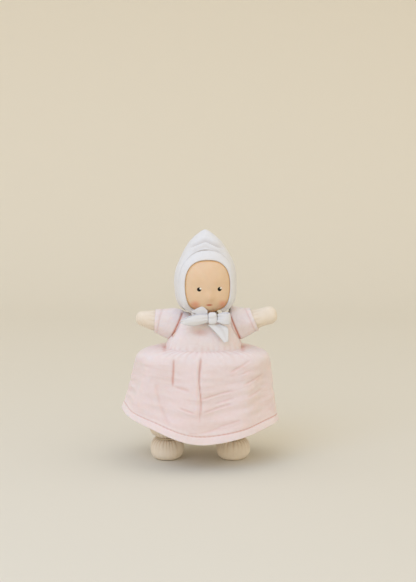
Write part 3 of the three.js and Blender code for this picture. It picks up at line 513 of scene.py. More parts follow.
def body_halves(z):
    """Half width and half depth of the body at a height, on smooth curves from the seat to the neck."""
    shares = np.array([0.05, 0.22, 0.55])
    fullness = (1 - (1 - shares) ** SEAT_POWER) ** (1 / SEAT_POWER)
    seat = lerp(SEAT_HEIGHT, PELVIS_HEIGHT, shares)
    slope = lerp(SHOULDER_HEIGHT, NECK_HEIGHT, 0.6)
    upper = [PELVIS_HEIGHT, WAIST_HEIGHT, CHEST_HEIGHT, SHOULDER_HEIGHT, slope]
    heights = [*seat, *upper, NECK_HEIGHT, NECK_HEIGHT + NECK_EDGE]
    neck = [(NECK_RADIUS + CLOTH,) * 2, (NECK_RADIUS,) * 2, (NECK_RADIUS,) * 2]
    halves = np.array([PELVIS, WAIST, CHEST, SHOULDER, *neck])
    widths = [*(PELVIS[0] * fullness), *halves[:, 0]]
    depths = [*(PELVIS[1] * fullness), *halves[:, 1]]
    return smooth_curve(heights, widths, z), smooth_curve(heights, depths, z)


def body_power(z):
    """How square the body's section is at a height: an ellipse at 2, squarer above it."""
    return lerp(2.5, 2, smoothstep(z, CHEST_HEIGHT, NECK_HEIGHT))


def rounded(angle, power):
    """Cosine and sine of an angle, drawn out to a rounded square of half width 1."""
    c, s = np.cos(angle), np.sin(angle)
    reach = (np.abs(c) ** power + np.abs(s) ** power) ** (-1 / power)
    return c * reach, s * reach


def body_points(angle, z, offset):
    """Points round the body at heights z, moved out by an offset. Angles start at the doll's left."""
    width, depth = body_halves(z)
    c, s = rounded(angle, body_power(z))
    x = lean_at(z) + (width + offset) * c
    y = (depth + offset) * s
    return np.stack(np.broadcast_arrays(x, y, z), axis=-1)


def dimpled(points, middle, radius):
    """Points inside a ball are pushed out to its face, which makes a socket for a limb."""
    away = points - middle
    reach = np.linalg.norm(away, axis=-1, keepdims=True)
    return np.where(reach < radius, middle + away / reach * radius, points)


def column(values):
    """Values as a column, so that they meet a row of angles as a grid."""
    return np.asarray(values, float)[:, None]


def ring(count):
    """Angles evenly round a full turn."""
    return np.arange(count) * TURN / count


def make_body():
    """The stuffed body under the dress: closed at seat and neck, with sockets for the limbs."""
    angle = ring(120)[None]
    seat_edge = SEAT_HEIGHT + SEAT_ROUNDING
    shut = np.linspace(0, 1, 5)[:-1]
    above = np.linspace(seat_edge, NECK_HEIGHT + NECK_EDGE, 90)
    heights = np.concatenate([SEAT_HEIGHT + SEAT_ROUNDING * shut ** 2, above])
    points = body_points(angle, column(np.maximum(heights, seat_edge)), 0)
    points[..., 2] = column(heights)
    points[:4, :, :2] *= shut[:, None, None]
    lumps = 0.35 * round_waves(3, angle, column(heights), (1, 5), (0.01, 0.03))
    points += normals(points, True) * lumps[..., None]
    neck_shut = points[-1:].copy()
    neck_shut[..., :2] = [LEAN, 0]
    points = np.concatenate([points, neck_shut])
    for side in (1, -1):
        points = dimpled(points, SHOULDERS[side], ARM_RADIUS + SOCKET_GAP)
        points = dimpled(points, HIPS[side], HIP_RADIUS + SOCKET_GAP)
    body = surface("stuffed_body", points, (240, 130), JERSEY)
    settle(body, "torso", "ivory_jersey", "torso_cover", "torso_stuffing")


make_body()


def arm_axes(side):
    """The arm's own axes: along it, up across it, and straight back."""
    rise = np.radians(ARM_RISE[side])
    along = np.array([side * np.cos(rise), 0, np.sin(rise)])
    back = np.array([0.0, 1.0, 0.0])
    return along, np.cross(along, back), back


def arm_radius(side, s):
    """Radius of the arm a distance along it from the shoulder."""
    return lerp(ARM_RADIUS, HAND_RADIUS, smoothstep(s, 0, ARM_LENGTH[side] - HAND_RADIUS))


def around_arm(side, s, tall, deep, angle):
    """Points on rings about the arm's axis: tall across its height and deep from front to back."""
    along, up, back = arm_axes(side)
    places = np.broadcast_arrays(s, tall * np.cos(angle), deep * np.sin(angle))
    s, rise, behind = (value[..., None] for value in places)
    return SHOULDERS[side] + s * along + rise * up + behind * back


def make_arm(name, side):
    """A stuffed arm: round shoulder, slight taper and blunt hand, with soft lumps and cuff wrinkles."""
    quarter = np.linspace(0, np.pi / 2, 26)
    rise, fall = np.sin(quarter), np.clip(np.cos(quarter), 0, 1)
    blunt = 2 / HAND_BLUNTNESS
    hand_start = ARM_LENGTH[side] - HAND_RADIUS
    straight = np.linspace(0, hand_start, 60)[1:-1]
    s = column(np.concatenate([-ARM_RADIUS * fall, straight, hand_start + HAND_RADIUS * rise ** blunt]))
    middle = arm_radius(side, straight)
    radius = column(np.concatenate([ARM_RADIUS * rise, middle, HAND_RADIUS * fall ** blunt]))
    angle = ring(110)[None]
    lumps = 0.3 * round_waves(11 + side, angle, s, (1, 4), (0.01, 0.05))
    near_cuff = bump(s - SLEEVE_LENGTH - 2, 5)
    gather = np.abs(np.sin(6 * angle + 0.8 * np.sin(2 * angle + side)))
    from_seam = angle - ARM_SEAM_ANGLE
    seam = bump(np.sin(from_seam), 0.05) * (np.cos(from_seam) > 0)
    seam = seam * smoothstep(s, SLEEVE_LENGTH - 2, SLEEVE_LENGTH)
    body = smoothstep(s, 0, 12) * smoothstep(ARM_LENGTH[side] - s, 0, 6)
    radius = radius * (1 - HAND_TAPER[side] * smoothstep(s, SLEEVE_LENGTH, ARM_LENGTH[side]))
    radius = radius + (lumps - 0.35 * (1 - gather) ** 2 * near_cuff - 0.3 * seam) * body
    points = around_arm(side, s, radius, radius, angle)
    # Painted shade: darker down in the gathers by the cuff and along the arm's seam.
    painted_shade = np.clip(0.25 * (1 - gather) ** 2 * near_cuff + 0.3 * seam, 0, 1) * body
    arm = surface(f"{name}_stuffed_arm", points, (78, 62), JERSEY, painted_shade=painted_shade)
    settle(arm, f"{name}_arm", "ivory_jersey", f"{name}_arm_cover", f"{name}_arm_stuffing")


def inside_bodice(points):
    """True where a point is inside the bodice's outer face."""
    z = np.clip(points[..., 2], SEAT_HEIGHT + 2, NECK_HEIGHT + NECK_EDGE)
    width, depth = body_halves(z)
    power = body_power(z)
    across = np.abs((points[..., 0] - lean_at(z)) / (width + BODICE_OFFSET)) ** power
    return across + np.abs(points[..., 1] / (depth + BODICE_OFFSET)) ** power < 1


def armhole(points):
    """1 along the straight lines down the dress's front where the sleeves are sewn in; painted shade
    darkens them.
    """
    x, y, z = np.moveaxis(points, -1, 0)
    seam = 0
    for top, bottom in ARMHOLES:
        away = x - lerp(bottom[0], top[0], (z - bottom[1]) / (top[1] - bottom[1]))
        reach = smoothstep(z, bottom[1] - 3, bottom[1]) * smoothstep(top[1] - z, -4, 0)
        seam = seam + bump(away, 1.1) * reach * smoothstep(-y, 2, 6)
    return np.clip(seam, 0, 1)


def make_sleeve(name, side):
    """A short tapering sleeve: each thread runs from the place where the bodice ends to the cuff."""
    angle = ring(150)
    cuff = arm_radius(side, SLEEVE_LENGTH) + LAYER_GAP + CLOTH

    def tube(s):
        share = np.clip(s / SLEEVE_LENGTH, 0, 1)
        puff = SLEEVE_PUFF[side] * np.maximum(np.cos(angle), 0) ** 2 * bump(s + 4, 10)
        dip = SLEEVE_DIP[side] * np.maximum(side * np.cos(angle), 0) * smoothstep(-s, *DIP_REACH[side])
        tall = lerp(SLEEVE_ROOT[0], cuff, share) + puff - dip
        return around_arm(side, s, tall, lerp(SLEEVE_ROOT[1], cuff, share), angle[None])

    low, high = np.full(angle.shape, -SLEEVE_REACH), np.full(angle.shape, SLEEVE_LENGTH)
    for _ in range(24):
        middle = (low + high) / 2
        sunk = inside_bodice(tube(middle[None])[0])
        low, high = np.where(sunk, middle, low), np.where(sunk, high, middle)
    share = column(np.linspace(0, 1, 46))
    s = lerp(low[None] - 0.5, SLEEVE_LENGTH - CUFF_SLANT * cuff * np.cos(angle), share)
    points = tube(s)
    pleat = round_waves(31 + side, angle[None], s, (2, 7), (0.0, 0.03))
    rumple = round_waves(33 + side, angle[None], s, (2, 6), (0.03, 0.09))
    valley = bump(rumple, 0.2) * smoothstep(share, 0, 0.15) * smoothstep(1 - share, 0, 0.12)
    root = bump(share * 20, 1.3)
    seam = armhole(points)
    cuff_fold = bump((share - 0.84) * 16, 0.5)
    lift = 0.3 * pleat * smoothstep(share, 0, 0.3) - 0.12 * valley - 0.6 * root - 0.8 * seam
    lift = lift - 0.25 * cuff_fold + 0.3 * smoothstep(share, 0.8, 0.9)
    facing = normals(points, True)
    outer = points + facing * lift[..., None]
    # Painted shade: darker in the rumpled valleys, at the root against the bodice, along the armhole seam
    # and in the fold above the cuff.
    painted_shade = np.clip(0.06 * valley + 0.3 * root + seam + 0.2 * cuff_fold, 0, 1)
    inner = outer - facing * CLOTH
    sleeve = surface(
        f"{name}_gauze_sleeve", two_faced(outer, inner), (100, 60), GAUZE, loop_rows=True,
        painted_shade=painted_shade,
    )
    settle(sleeve, None, "pink_gauze", f"{name}_sleeve")
    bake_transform(sleeve)


def leg_profile():
    """Radius and height up the leg: flat sole, ball foot, drawn-in ankle, puffed leg and round hip."""
    quarter = np.linspace(0, np.pi / 2, 30)
    rise, fall = np.sin(quarter), np.cos(quarter)
    foot_middle = 0.44 * ANKLE_HEIGHT
    leg_middle = lerp(ANKLE_HEIGHT, HIP_HEIGHT, 0.42)
    thigh = np.linspace(0, 1, 26)[1:]
    radius = np.concatenate([
        np.linspace(0, SOLE_RADIUS, 8)[:-1],
        lerp(SOLE_RADIUS, FOOT_RADIUS, rise),
        lerp(ANKLE_RADIUS, FOOT_RADIUS, fall)[1:],
        lerp(ANKLE_RADIUS, LEG_RADIUS, rise),
        lerp(LEG_RADIUS, HIP_RADIUS, smoothstep(thigh, 0, 1)),
        HIP_RADIUS * fall[1:],
    ])
    height = np.concatenate([
        np.zeros(7),
        lerp(0, foot_middle, 1 - fall),
        lerp(foot_middle, ANKLE_HEIGHT - ANKLE_GROOVE, rise)[1:],
        lerp(ANKLE_HEIGHT + ANKLE_GROOVE, leg_middle, 1 - fall),
        lerp(leg_middle, HIP_HEIGHT, thigh),
        HIP_HEIGHT + HIP_RADIUS * rise[1:],
    ])
    return column(radius), column(height)


def make_leg(name, side):
    """A stuffed leg, gathered by the ankle thread, so that folds run down the foot and up the leg."""
    radius, height = leg_profile()
    angle = ring(180)[None]
    swell = angle + 0.10 * np.sin(3 * angle + side) + 0.06 * np.sin(5 * angle)
    fold = np.abs(np.sin(12 * swell))
    from_ankle = np.abs(height - ANKLE_HEIGHT)
    longer = 0.35 * np.exp(-from_ankle / 11.0) * (0.6 + 0.4 * np.sin(3 * angle + side))
    reach = (np.exp(-from_ankle / 5.0) + longer) * smoothstep(height, 2.5, 7)
    valley = (1 - fold) ** 2
    lumps = 0.4 * round_waves(41 + side, angle, height, (1, 4), (0.01, 0.04)) * smoothstep(height, 1, 8)
    upper = 1 - smoothstep(height, HIP_HEIGHT - 14, HIP_HEIGHT - 2)
    out = radius + (lumps - 1.3 * valley * reach + 0.35 * fold * reach) * upper * smoothstep(radius, 3, 9)
    x, y, z = np.broadcast_arrays(HIPS[side][0] + out * np.cos(angle), out * np.sin(angle), height)
    # Painted shade: darker down in the gathers round the ankle thread.
    leg = surface(
        f"{name}_stuffed_leg", np.stack([x, y, z], axis=-1), (120, 100), JERSEY,
        painted_shade=np.clip(0.9 * valley * reach, 0, 1) * upper,
    )
    settle(leg, f"{name}_leg", "ivory_jersey", f"{name}_leg_cover", f"{name}_leg_stuffing")


def make_thread(name, body, middle, radius):
    """A tied ring of two-ply thread: a thin ring whose round section is squeezed into a twist."""
    angle, turn = ring(260)[None], column(ring(14))
    thick = THREAD_RADIUS * (0.88 + 0.12 * np.cos(2 * turn - 60 * angle))
    reach = radius + thick * np.cos(turn)
    rise = thick * np.sin(turn) + 0 * angle
    points = np.stack([reach * np.cos(angle), reach * np.sin(angle), rise], axis=-1)
    thread = surface(f"{name}_thread", points + middle, (80, 5), THREAD, loop_rows=True)
    settle(thread, body, "thread", name)


for side_name, side in (("left", 1), ("right", -1)):
    make_arm(side_name, side)
    make_sleeve(side_name, side)
    make_leg(side_name, side)
    ankle, round_ankle = [HIPS[side][0], 0, ANKLE_HEIGHT], ANKLE_RADIUS + SEAM_GAP + THREAD_RADIUS
    make_thread(f"{side_name}_ankle_tie", f"{side_name}_leg", ankle, round_ankle)
make_thread("neck_tie", "torso", [LEAN, 0, NECK_HEIGHT], NECK_RADIUS + SEAM_GAP + THREAD_RADIUS)


def waist_dent_and_shade(points):
    """Dents at both sides of the waist, where the bodice sinks into the skirt's gathers, darkened with
    painted shade.
    """
    middle = lean_at(WAIST_HEIGHT)
    away = np.abs(points[..., 0] - middle) - WAIST[0] - BODICE_OFFSET
    front = smoothstep(-points[..., 1], -8, 4)
    return 0.7 * bump(away - 0.5, 2) * bump(points[..., 2] - WAIST_HEIGHT - 0.5, 2) * front


def make_bodice(name, start):
    """Half of the bodice: gauze round the chest from waist to neck, gathered along the waist seam."""
    angle = start + np.linspace(0, np.pi, 190)[None]
    z = column(np.linspace(WAIST_HEIGHT + 0.2, SHOULDER_HEIGHT + 1.5, 80))
    points = body_points(angle, z, BODICE_OFFSET)
    width = angle * 38
    rumple = waves(51, width, z, (0.01, 0.04), (0.02, 0.07))
    valley = bump(rumple, 0.16)
    gather = np.abs(np.sin(19 * angle + 0.8 * np.sin(5 * angle)))
    at_waist = np.exp(-(z - WAIST_HEIGHT) / 3.5)
    seam = armhole(points)
    # A dent under the bow, with the bow's shadow painted into it.
    dent_and_bow_shadow = bump(points[..., 0] - UNDER_BOW[0], 9) * bump(z - UNDER_BOW[1], 3.2)
    dent_and_bow_shadow = dent_and_bow_shadow * smoothstep(-points[..., 1], 5, 15)
    lift = 0.25 * waves(52, width, z, (0.01, 0.03), (0.01, 0.03)) - 0.12 * valley
    lift = lift * smoothstep(z, WAIST_HEIGHT + 1, WAIST_HEIGHT + 5) - 0.8 * seam - 0.8 * dent_and_bow_shadow
    facing = normals(points, False)
    outer = points + facing * lift[..., None]
    inner = outer - facing * CLOTH
    both = two_faced(outer, inner, pinch=True)
    for side in (1, -1):
        both = dimpled(both, SHOULDERS[side], ARM_RADIUS + ARMHOLE_GAP)
    dent_and_shade = waist_dent_and_shade(points)
    # Painted shade: darker in the rumpled valleys, along the armhole seams, in the waist gathers, under the
    # bow and at the waist's side corners.
    painted_shade = 0.05 * valley + seam + 0.3 * (1 - gather) * at_waist + 0.35 * dent_and_bow_shadow + dent_and_shade
    painted_shade = np.clip(painted_shade, 0, 1)
    bodice = surface(
        f"gauze_{name}", both, (120, 80), GAUZE, loop_rows=True, loop_columns=False,
        painted_shade=painted_shade,
    )
    settle(bodice, "torso", "pink_gauze", name)


make_bodice("bodice_front", np.pi)
make_bodice("bodice_back", 0.0)


def skirt_points(angle, share):
    """The skirt's outer face: it puffs out below the waist and flares to the hem, which rises at the sides.

    Shares below 0 run up the bodice, where the skirt is sewn over its edge.
    """
    c = np.cos(angle)
    down = np.maximum(share, 0)
    round_c, round_s = rounded(angle, lerp(body_power(WAIST_HEIGHT), 2, smoothstep(down, 0, 0.4)))
    waist = np.array(body_halves(np.array(WAIST_HEIGHT))) + BODICE_OFFSET
    half = [
        waist[k] + (SKIRT_PUFF[k] - waist[k]) * (1 - np.exp(-down / quick))
        + (SKIRT_HEM[k] - SKIRT_PUFF[k]) * down ** splay
        for k, quick, splay in ((0, 0.045, 2.2), (1, 0.12, 1.2))
    ]
    hang = smoothstep(down, 0.02, 0.5) * (1 - 0.6 * smoothstep(down, 0.8, 1))
    fold = FOLD_HEIGHT * hang * np.cos(FOLD_COUNT * (angle - 1.5 * np.pi) + 1.8 * down)
    sideways = (np.hypot(c, HEM_ROUNDING) - HEM_ROUNDING) / (np.hypot(1, HEM_ROUNDING) - HEM_ROUNDING)
    hem = HEM_FRONT_HEIGHT + HEM_SIDE_RISE * sideways - HEM_TILT * c
    x = lean_at(WAIST_HEIGHT) * (1 - down) + (half[0] + fold) * round_c
    y = (half[1] + fold) * round_s
    return np.stack(np.broadcast_arrays(x, y, lerp(SKIRT_TOP, hem, share)), axis=-1)


def pressed(across, below, start, end, width):
    """1 along a straight line on the skirt's front, falling off over a half width and at both ends.

    Places on the front are distances across it and below the waist.
    """
    start, end = np.array(start), np.array(end)
    length = np.linalg.norm(end - start)
    way = (end - start) / length
    along = (across - start[0]) * way[0] + (below - start[1]) * way[1]
    aside = (across - start[0]) * way[1] - (below - start[1]) * way[0]
    return bump(aside, width) * smoothstep(along, -2, 4) * smoothstep(length - along, -2, 4)


# Folds pressed into the skirt's front: from, to, half width, depth and the strength of the shade painted in
# them
SKIRT_FOLDS = (
    ((-28.8, 8), (-30.3, 37), 1.1, 1.2, 0.6),
    ((-28, 38), (-11, 41), 1.5, 0.7, 0.16),
    ((-49, 36), (-44.5, 58), 2.0, 0.7, 0.12),
    ((-44.5, 58), (-35, 79), 2.0, 0.7, 0.12),
    ((-23, 60), (-6, 65), 1.1, 0.6, 0.22),
    ((-13, 87), (-1, 88), 1.1, 0.4, 0.16),
    ((-1, 88), (23, 82), 1.1, 0.4, 0.14),
    ((2, 50), (35, 42), 1.1, 0.6, 0.2),
    ((4, 65), (35, 56), 1.1, 0.6, 0.2),
    ((16, 56), (38, 50), 1.2, 0.4, 0.14),
    ((34, 22), (56, 10), 1.2, 0.6, 0.18),
    ((45, 25), (58, 20), 1.0, 0.4, 0.14),
    ((50, 36), (70, 28), 1.2, 0.6, 0.18),
    ((53, 50), (70, 44), 1.2, 0.4, 0.14),
    ((21, 81), (45, 74), 1.2, 0.4, 0.14),
)


def make_skirt():
    """The gauze skirt: gathers below the waist, soft ripples, pressed folds and a stitched hem."""
    angle = ring(400)[None]
    share = column(np.concatenate([np.linspace(-0.014, 0.12, 26)[:-1], np.linspace(0.12, 1, 99)]))
    points = skirt_points(angle, share)
    front = smoothstep(-np.sin(angle), 0.05, 0.35)
    x, below, drop = points[..., 0], SKIRT_TOP - points[..., 2], share * FRONT_DROP
    gather = np.abs(np.sin(27 * angle + 1.1 * np.sin(4 * angle) + 0.7 * np.sin(9 * angle)))
    long = 0.5 + 0.5 * np.sin(6 * angle + 1.0)
    at_waist = np.exp(-np.maximum(share, 0) / (0.02 + 0.05 * long)) * smoothstep(share, -0.01, 0.012)
    open_cloth = smoothstep(share, 0.06, 0.2) * smoothstep(HEM_SHARE - share, 0.0, 0.05)
    ripple = round_waves(61, angle, drop, (1, 5), (0.03, 0.08)) * open_cloth
    crinkle = round_waves(62, angle, drop, (3, 12), (0.07, 0.14)) * open_cloth
    broken = smoothstep(round_waves(63, angle, drop, (3, 9), (0.0, 0.03)), -0.2, 1.2)
    line = bump(round_waves(64, angle, drop, (1, 5), (0.05, 0.09)), 0.2) * open_cloth * broken
    wobble = np.cos(TURN * (below - 2) / 52)
    pleat_reach = front * smoothstep(below, 4, 10) * smoothstep(78 - below, 0, 20)
    pleat = bump(x - 0.4 - wobble, lerp(1.2, 0.7, smoothstep(below, 10, 40))) * pleat_reach
    hem_side = (share - HEM_SHARE) * FRONT_DROP
    hem_line = bump(hem_side, 0.7)
    pucker = np.abs(np.sin(58 * angle + 1.5 * np.sin(7 * angle)))
    hem_band = smoothstep(hem_side, -0.2, 1.5)
    dent_and_shade = waist_dent_and_shade(points)
    lift = 0.2 + 0.55 * (gather - 0.6) * at_waist + 0.22 * ripple + 0.06 * crinkle - 0.12 * line
    lift = lift - 1.4 * pleat + 0.8 * bump(x + 4.0, 2.5) * pleat_reach - 0.6 * hem_line + 0.4 * hem_band
    lift = lift + 0.15 * (pucker - 0.6) * bump(hem_side, 4.0) - 0.8 * dent_and_shade
    # Painted shade: darker in the waist gathers, along the crinkle lines, in the front pleat and at the
    # waist's side corners, and a little over all the open cloth, which leaves the doubled hem lighter.
    painted_shade = 0.09 * open_cloth + 0.25 * (1 - gather) * at_waist + 0.07 * line + 0.6 * pleat + dent_and_shade
    for start, end, width, depth, tone in SKIRT_FOLDS:
        fold = pressed(x, below, start, end, width) * front
        beside = pressed(x, below - 2.2 * width, start, end, width) * front
        lift = lift - depth * fold + 0.5 * depth * beside
        painted_shade = painted_shade + tone * fold
    facing = normals(points, True)
    outer = points + facing * lift[..., None]
    inner = outer - facing * (CLOTH + 0.6 * hem_band)[..., None]
    # Painted shade along the hem's fold line, stronger towards the doll's left, and in a thin band at the
    # waist seam.
    stitched = hem_line * (0.3 + 0.25 * pucker + 0.2 * smoothstep(x, -20, 40))
    painted_shade = np.clip(painted_shade + stitched + 0.1 * bump(drop, 1.2), 0, 1)
    skirt = surface(
        "gauze_skirt", two_faced(outer, inner), (490, 216), GAUZE, loop_rows=True,
        painted_shade=painted_shade,
    )
    settle(skirt, "torso", "pink_gauze", "skirt")


make_skirt()


def head_power(rise):
    """How square the head is in a direction that rises, or falls below 0: squarer towards the jaw."""
    return lerp(HEAD_POWER, JAW_POWER, smoothstep(-rise, 0, 0.6))


def head_radius(direction):
    """The head's outside from its middle in a direction: a rounded block plus the face's soft forms."""
    x, y, z = np.moveaxis(direction, -1, 0)
    tall = np.where(z > 0, HEAD_UP, HEAD_DOWN)
    power = head_power(z)
    total = np.abs(x / HEAD_HALF_WIDTH) ** power + np.abs(y / HEAD_HALF_DEPTH) ** power
    plain = (total + np.abs(z / tall) ** power) ** (-1 / power)
    radius = plain
    # Each form's middle and drop on the face, its height and its spread
    forms = [
        (0, NOSE_DROP, 2.4, 3.4),
        (0, NOSE_DROP - 9, 0.5, 6),
        (CHEEK_SPACING / 2, CHEEK_DROP, 1.3, 7.5),
        (-CHEEK_SPACING / 2, CHEEK_DROP, 1.3, 7.5),
        (EYE_SPACING / 2, EYE_DROP, -0.9, 5),
        (-EYE_SPACING / 2, EYE_DROP, -0.9, 5),
        (0, MOUTH_DROP, -0.6, 3),
        (0, CHIN_DROP, 1.6, 6),
        (0, CHIN_DROP + 3, CHIN_FULLNESS, 9),
    ]
    for middle, drop, height, spread in forms:
        away = np.hypot(x * plain - FACE_SHIFT - middle, z * plain + drop)
        radius = radius + smoothstep(-y, 0.1, 0.5) * height * bump(away, spread * np.sqrt(2))
    return radius


def in_head(points):
    """Points of the head's own frame, turned and moved to their place."""
    c, s = np.cos(HEAD_TURN), np.sin(HEAD_TURN)
    turn = np.array([[c, s, 0], [-s, c, 0], [0, 0, 1]])
    return points @ turn + [LEAN, 0, NECK_HEIGHT + HEAD_RISE]


def make_head():
    """The rubber head with its face, narrowing to a neck that ends in the flange inside the body."""
    even = ring(240)[None]
    turn = even - 0.55 * np.sin(even)
    down = column(np.radians(np.linspace(0.02, 157, 170)))
    across, forward = np.sin(turn) * np.sin(down), np.cos(turn) * np.sin(down)
    direction = np.stack(np.broadcast_arrays(across, -forward, np.cos(down)), axis=-1)
    skin = direction * head_radius(direction)[..., None]
    groove = NECK_RADIUS - CLOTH - LAYER_GAP
    flange = groove + FLANGE_LIP
    profile = [
        (groove, GROOVE_REACH),
        (groove, -GROOVE_REACH),
        (flange, -GROOVE_REACH - FLANGE_LIP),
        (flange, -FLANGE_DROP),
        (0.01, -FLANGE_DROP),
    ]
    reach, rise = np.array(profile).T[..., None]
    neck = np.broadcast_arrays(reach * np.sin(turn), -reach * np.cos(turn), rise - HEAD_RISE)
    points = np.concatenate([skin, np.stack(neck, axis=-1)])
    aside = np.abs(points[..., 0] / FACE_HALF_WIDTH) ** RIM_POWER
    upward = np.abs((points[..., 2] + FACE_DROP) / FACE_HALF_HEIGHT) ** RIM_POWER
    oblong = (aside + upward) ** (1 / RIM_POWER)
    shade = 0.7 * smoothstep(oblong, 1 - RIM_SHADE_WIDTH / FACE_HALF_WIDTH, 1)
    head = surface("rubber_head", in_head(points), (210, 120), RUBBER, painted_shade=shade)
    settle(head, "head", "rubber_skin", "head")


make_head()


def rim_points(across):
    """The bonnet's edge round the face: a rounded oblong on the head, pulled off the jaw by the ties."""
    angle = np.radians(across * RIM_ANGLE)
    c, s = np.cos(angle), np.sin(angle)
    bend = 2 / RIM_POWER
    x = FACE_HALF_WIDTH * np.sign(s) * np.abs(s) ** bend
    z = FACE_HALF_HEIGHT * np.sign(c) * np.abs(c) ** bend - FACE_DROP
    tall = np.where(z > 0, HEAD_UP, HEAD_DOWN)
    power = head_power(z / HEAD_HALF_DEPTH)
    left = 1 - np.abs(x / HEAD_HALF_WIDTH) ** power - np.abs(z / tall) ** power
    on_head = HEAD_HALF_DEPTH * np.maximum(left, 0) ** (1 / power)
    pulled = smoothstep(np.abs(across) * RIM_ANGLE, 100, RIM_ANGLE)
    return np.stack([x, -lerp(on_head, np.maximum(on_head, RIM_FORWARD), pulled), z], axis=-1)


def bonnet_direction(across, share):
    """Directions from the head's middle, on curves from the face past the head's side to the back seam."""
    across, share = np.broadcast_arrays(across, share)
    wide = np.abs(across)
    rim = unit(rim_points(across))
    down = np.radians(lerp(PEAK_TILT, NAPE_ANGLE, wide))
    seam = np.stack([0 * down, np.sin(down), np.cos(down)], axis=-1)
    low = np.radians(SIDE_ANGLE * wide)
    side = unit(np.stack([np.sign(across) * np.sin(low), 0.05 + 0 * low, np.cos(low)], axis=-1))
    side = lerp(side, lerp(rim, seam, 0.5), ((1 - wide) ** 2)[..., None])
    share = share[..., None]
    return unit(rim * (1 - share) ** 2 + side * 2 * share * (1 - share) + seam * share ** 2)


def bonnet_points(across, share, lift, hug=0.0):
    """The bonnet over the head, with its peak, standing off the jaw and spreading to its lower back edge.

    A hug of 1 lays the cloth close to the jaw again.
    """
    direction = bonnet_direction(across, share)
    tilt = np.radians(PEAK_TILT)
    from_peak = np.degrees(np.arccos(np.clip(direction @ [0, np.sin(tilt), np.cos(tilt)], -1, 1)))
    peak = PEAK_HEIGHT * np.maximum(0, 1 - np.hypot(from_peak, PEAK_ROUNDING) / PEAK_SPREAD) ** PEAK_POWER
    z = direction[..., 2]
    radius = head_radius(direction)
    edge = np.where(z < 0, BONNET_DROP / np.maximum(-z, 1e-3) - radius - BONNET_GAP - CLOTH, BONNET_FLARE)
    backward = lerp(JAW_ROOM, BONNET_FLARE, smoothstep(share, 0.3, 0.9))
    wanted = backward * smoothstep(np.degrees(np.arcsin(-z)), 12, 54)
    flare = np.maximum(0, np.minimum(wanted, edge))
    rim = rim_points(across)
    off_head = np.maximum(0, np.linalg.norm(rim, axis=-1) - head_radius(unit(rim)))
    stand_off = off_head * (1 - smoothstep(share, 0, 0.6))
    return direction * (radius + lift + peak + np.maximum(flare, stand_off) * (1 - hug))[..., None]


def brim_share(across):
    """The share of the way back at which the brim ends, measured along the cloth."""
    probes = bonnet_points(across[None], column(np.linspace(0, 1, 41)), BONNET_GAP)
    length = np.linalg.norm(np.diff(probes, axis=0), axis=-1).sum(axis=0)
    return BRIM_WIDTH / length


def make_bonnet():
    """The crown in soft folds drawn up to its peak, and the doubled band round the face."""
    even = np.linspace(-1, 1, 241)
    across = np.sign(even) * np.abs(even) ** 1.2
    start = brim_share(across)
    row = column(np.linspace(0, 1, 90))
    share = lerp(start[None] * (1 + SEAM_GAP / BRIM_WIDTH), 0.9995, row)
    x, y, z = np.moveaxis(bonnet_points(across[None], share, BONNET_GAP + CLOTH), -1, 0)
    below = z.max() - z
    # Roof-shaped folds, at distances below the tip
    down_fold = below - 0.45 * np.hypot(x + 1, 2)
    valley = bump(down_fold - 9.5, 1.5) + 0.5 * bump(down_fold - 15.5, 1.5)
    ridge = bump(down_fold - 6, 1.8) + 0.8 * bump(down_fold - 12.5, 1.6)
    near_tip = smoothstep(-y, -12, 2) * smoothstep(22 - np.abs(x), 0, 10)
    beside_face = smoothstep(np.abs(across[None]), 0.25, 0.5) * smoothstep(row, 0.03, 0.15)
    side_fold = bump(np.sin(TURN * (2.1 * row + 0.2 * across[None] + 0.1)), 0.25) * beside_face
    seam = bump(row * 40, 0.8)
    lift = 0.3 * waves(72, x, z + y, (0.01, 0.03), (0.01, 0.03)) - 0.5 * side_fold
    lift = lift + (1.2 * ridge - 1.6 * valley) * near_tip - 0.5 * seam
    lift = np.maximum(lift * smoothstep(1 - row, 0, 0.06), -0.8 - 1.5 * near_tip)
    outer = bonnet_points(across[None], share, BONNET_GAP + CLOTH + lift)
    inner = bonnet_points(across[None], share, BONNET_GAP + lift)
    # Painted shade: darker along the seam with the band, most over the top, in the roof-shaped valleys near
    # the tip and in the side folds.
    painted_shade = seam * (0.15 + 0.85 * bump(across[None], 0.22)) + 0.35 * valley * near_tip + 0.14 * side_fold
    painted_shade = np.clip(painted_shade, 0, 1)
    crown = surface(
        "cotton_bonnet_crown", in_head(two_faced(outer, inner, pinch=True)), (250, 90), COTTON,
        loop_rows=True, loop_columns=False, painted_shade=painted_shade,
    )
    settle(crown, "head", "white_cotton", "bonnet_crown")
    row = column(np.linspace(0, 1, 26))
    roll = 0.5 * (1 - np.sqrt(np.clip(1 - (2 * row - 1) ** 6, 0, 1)))
    pucker = 0.1 * np.sin(70 * across[None] + np.sin(9 * across[None])) * smoothstep(row, 0.2, 1)
    hug = 1 - smoothstep(row, 0, 0.6)
    close = lerp(BONNET_GAP, 0.3, hug)
    band = bonnet_points(across[None], start[None] * row, close + BRIM_CLOTH + pucker - roll, hug)
    under = bonnet_points(across[None], start[None] * row, close + 0 * pucker, hug)
    # Painted shade along the band's back edge at the seam with the crown, darkest over the top.
    edge = bump((1 - row) * 12, 0.8) * (0.1 + 0.6 * bump(across[None], 0.22))
    brim = surface(
        "cotton_bonnet_brim", in_head(two_faced(band, under, pinch=True)), (150, 24), COTTON,
        loop_rows=True, loop_columns=False, painted_shade=edge,
    )
    settle(brim, "head", "white_cotton", "bonnet_brim")


make_bonnet()


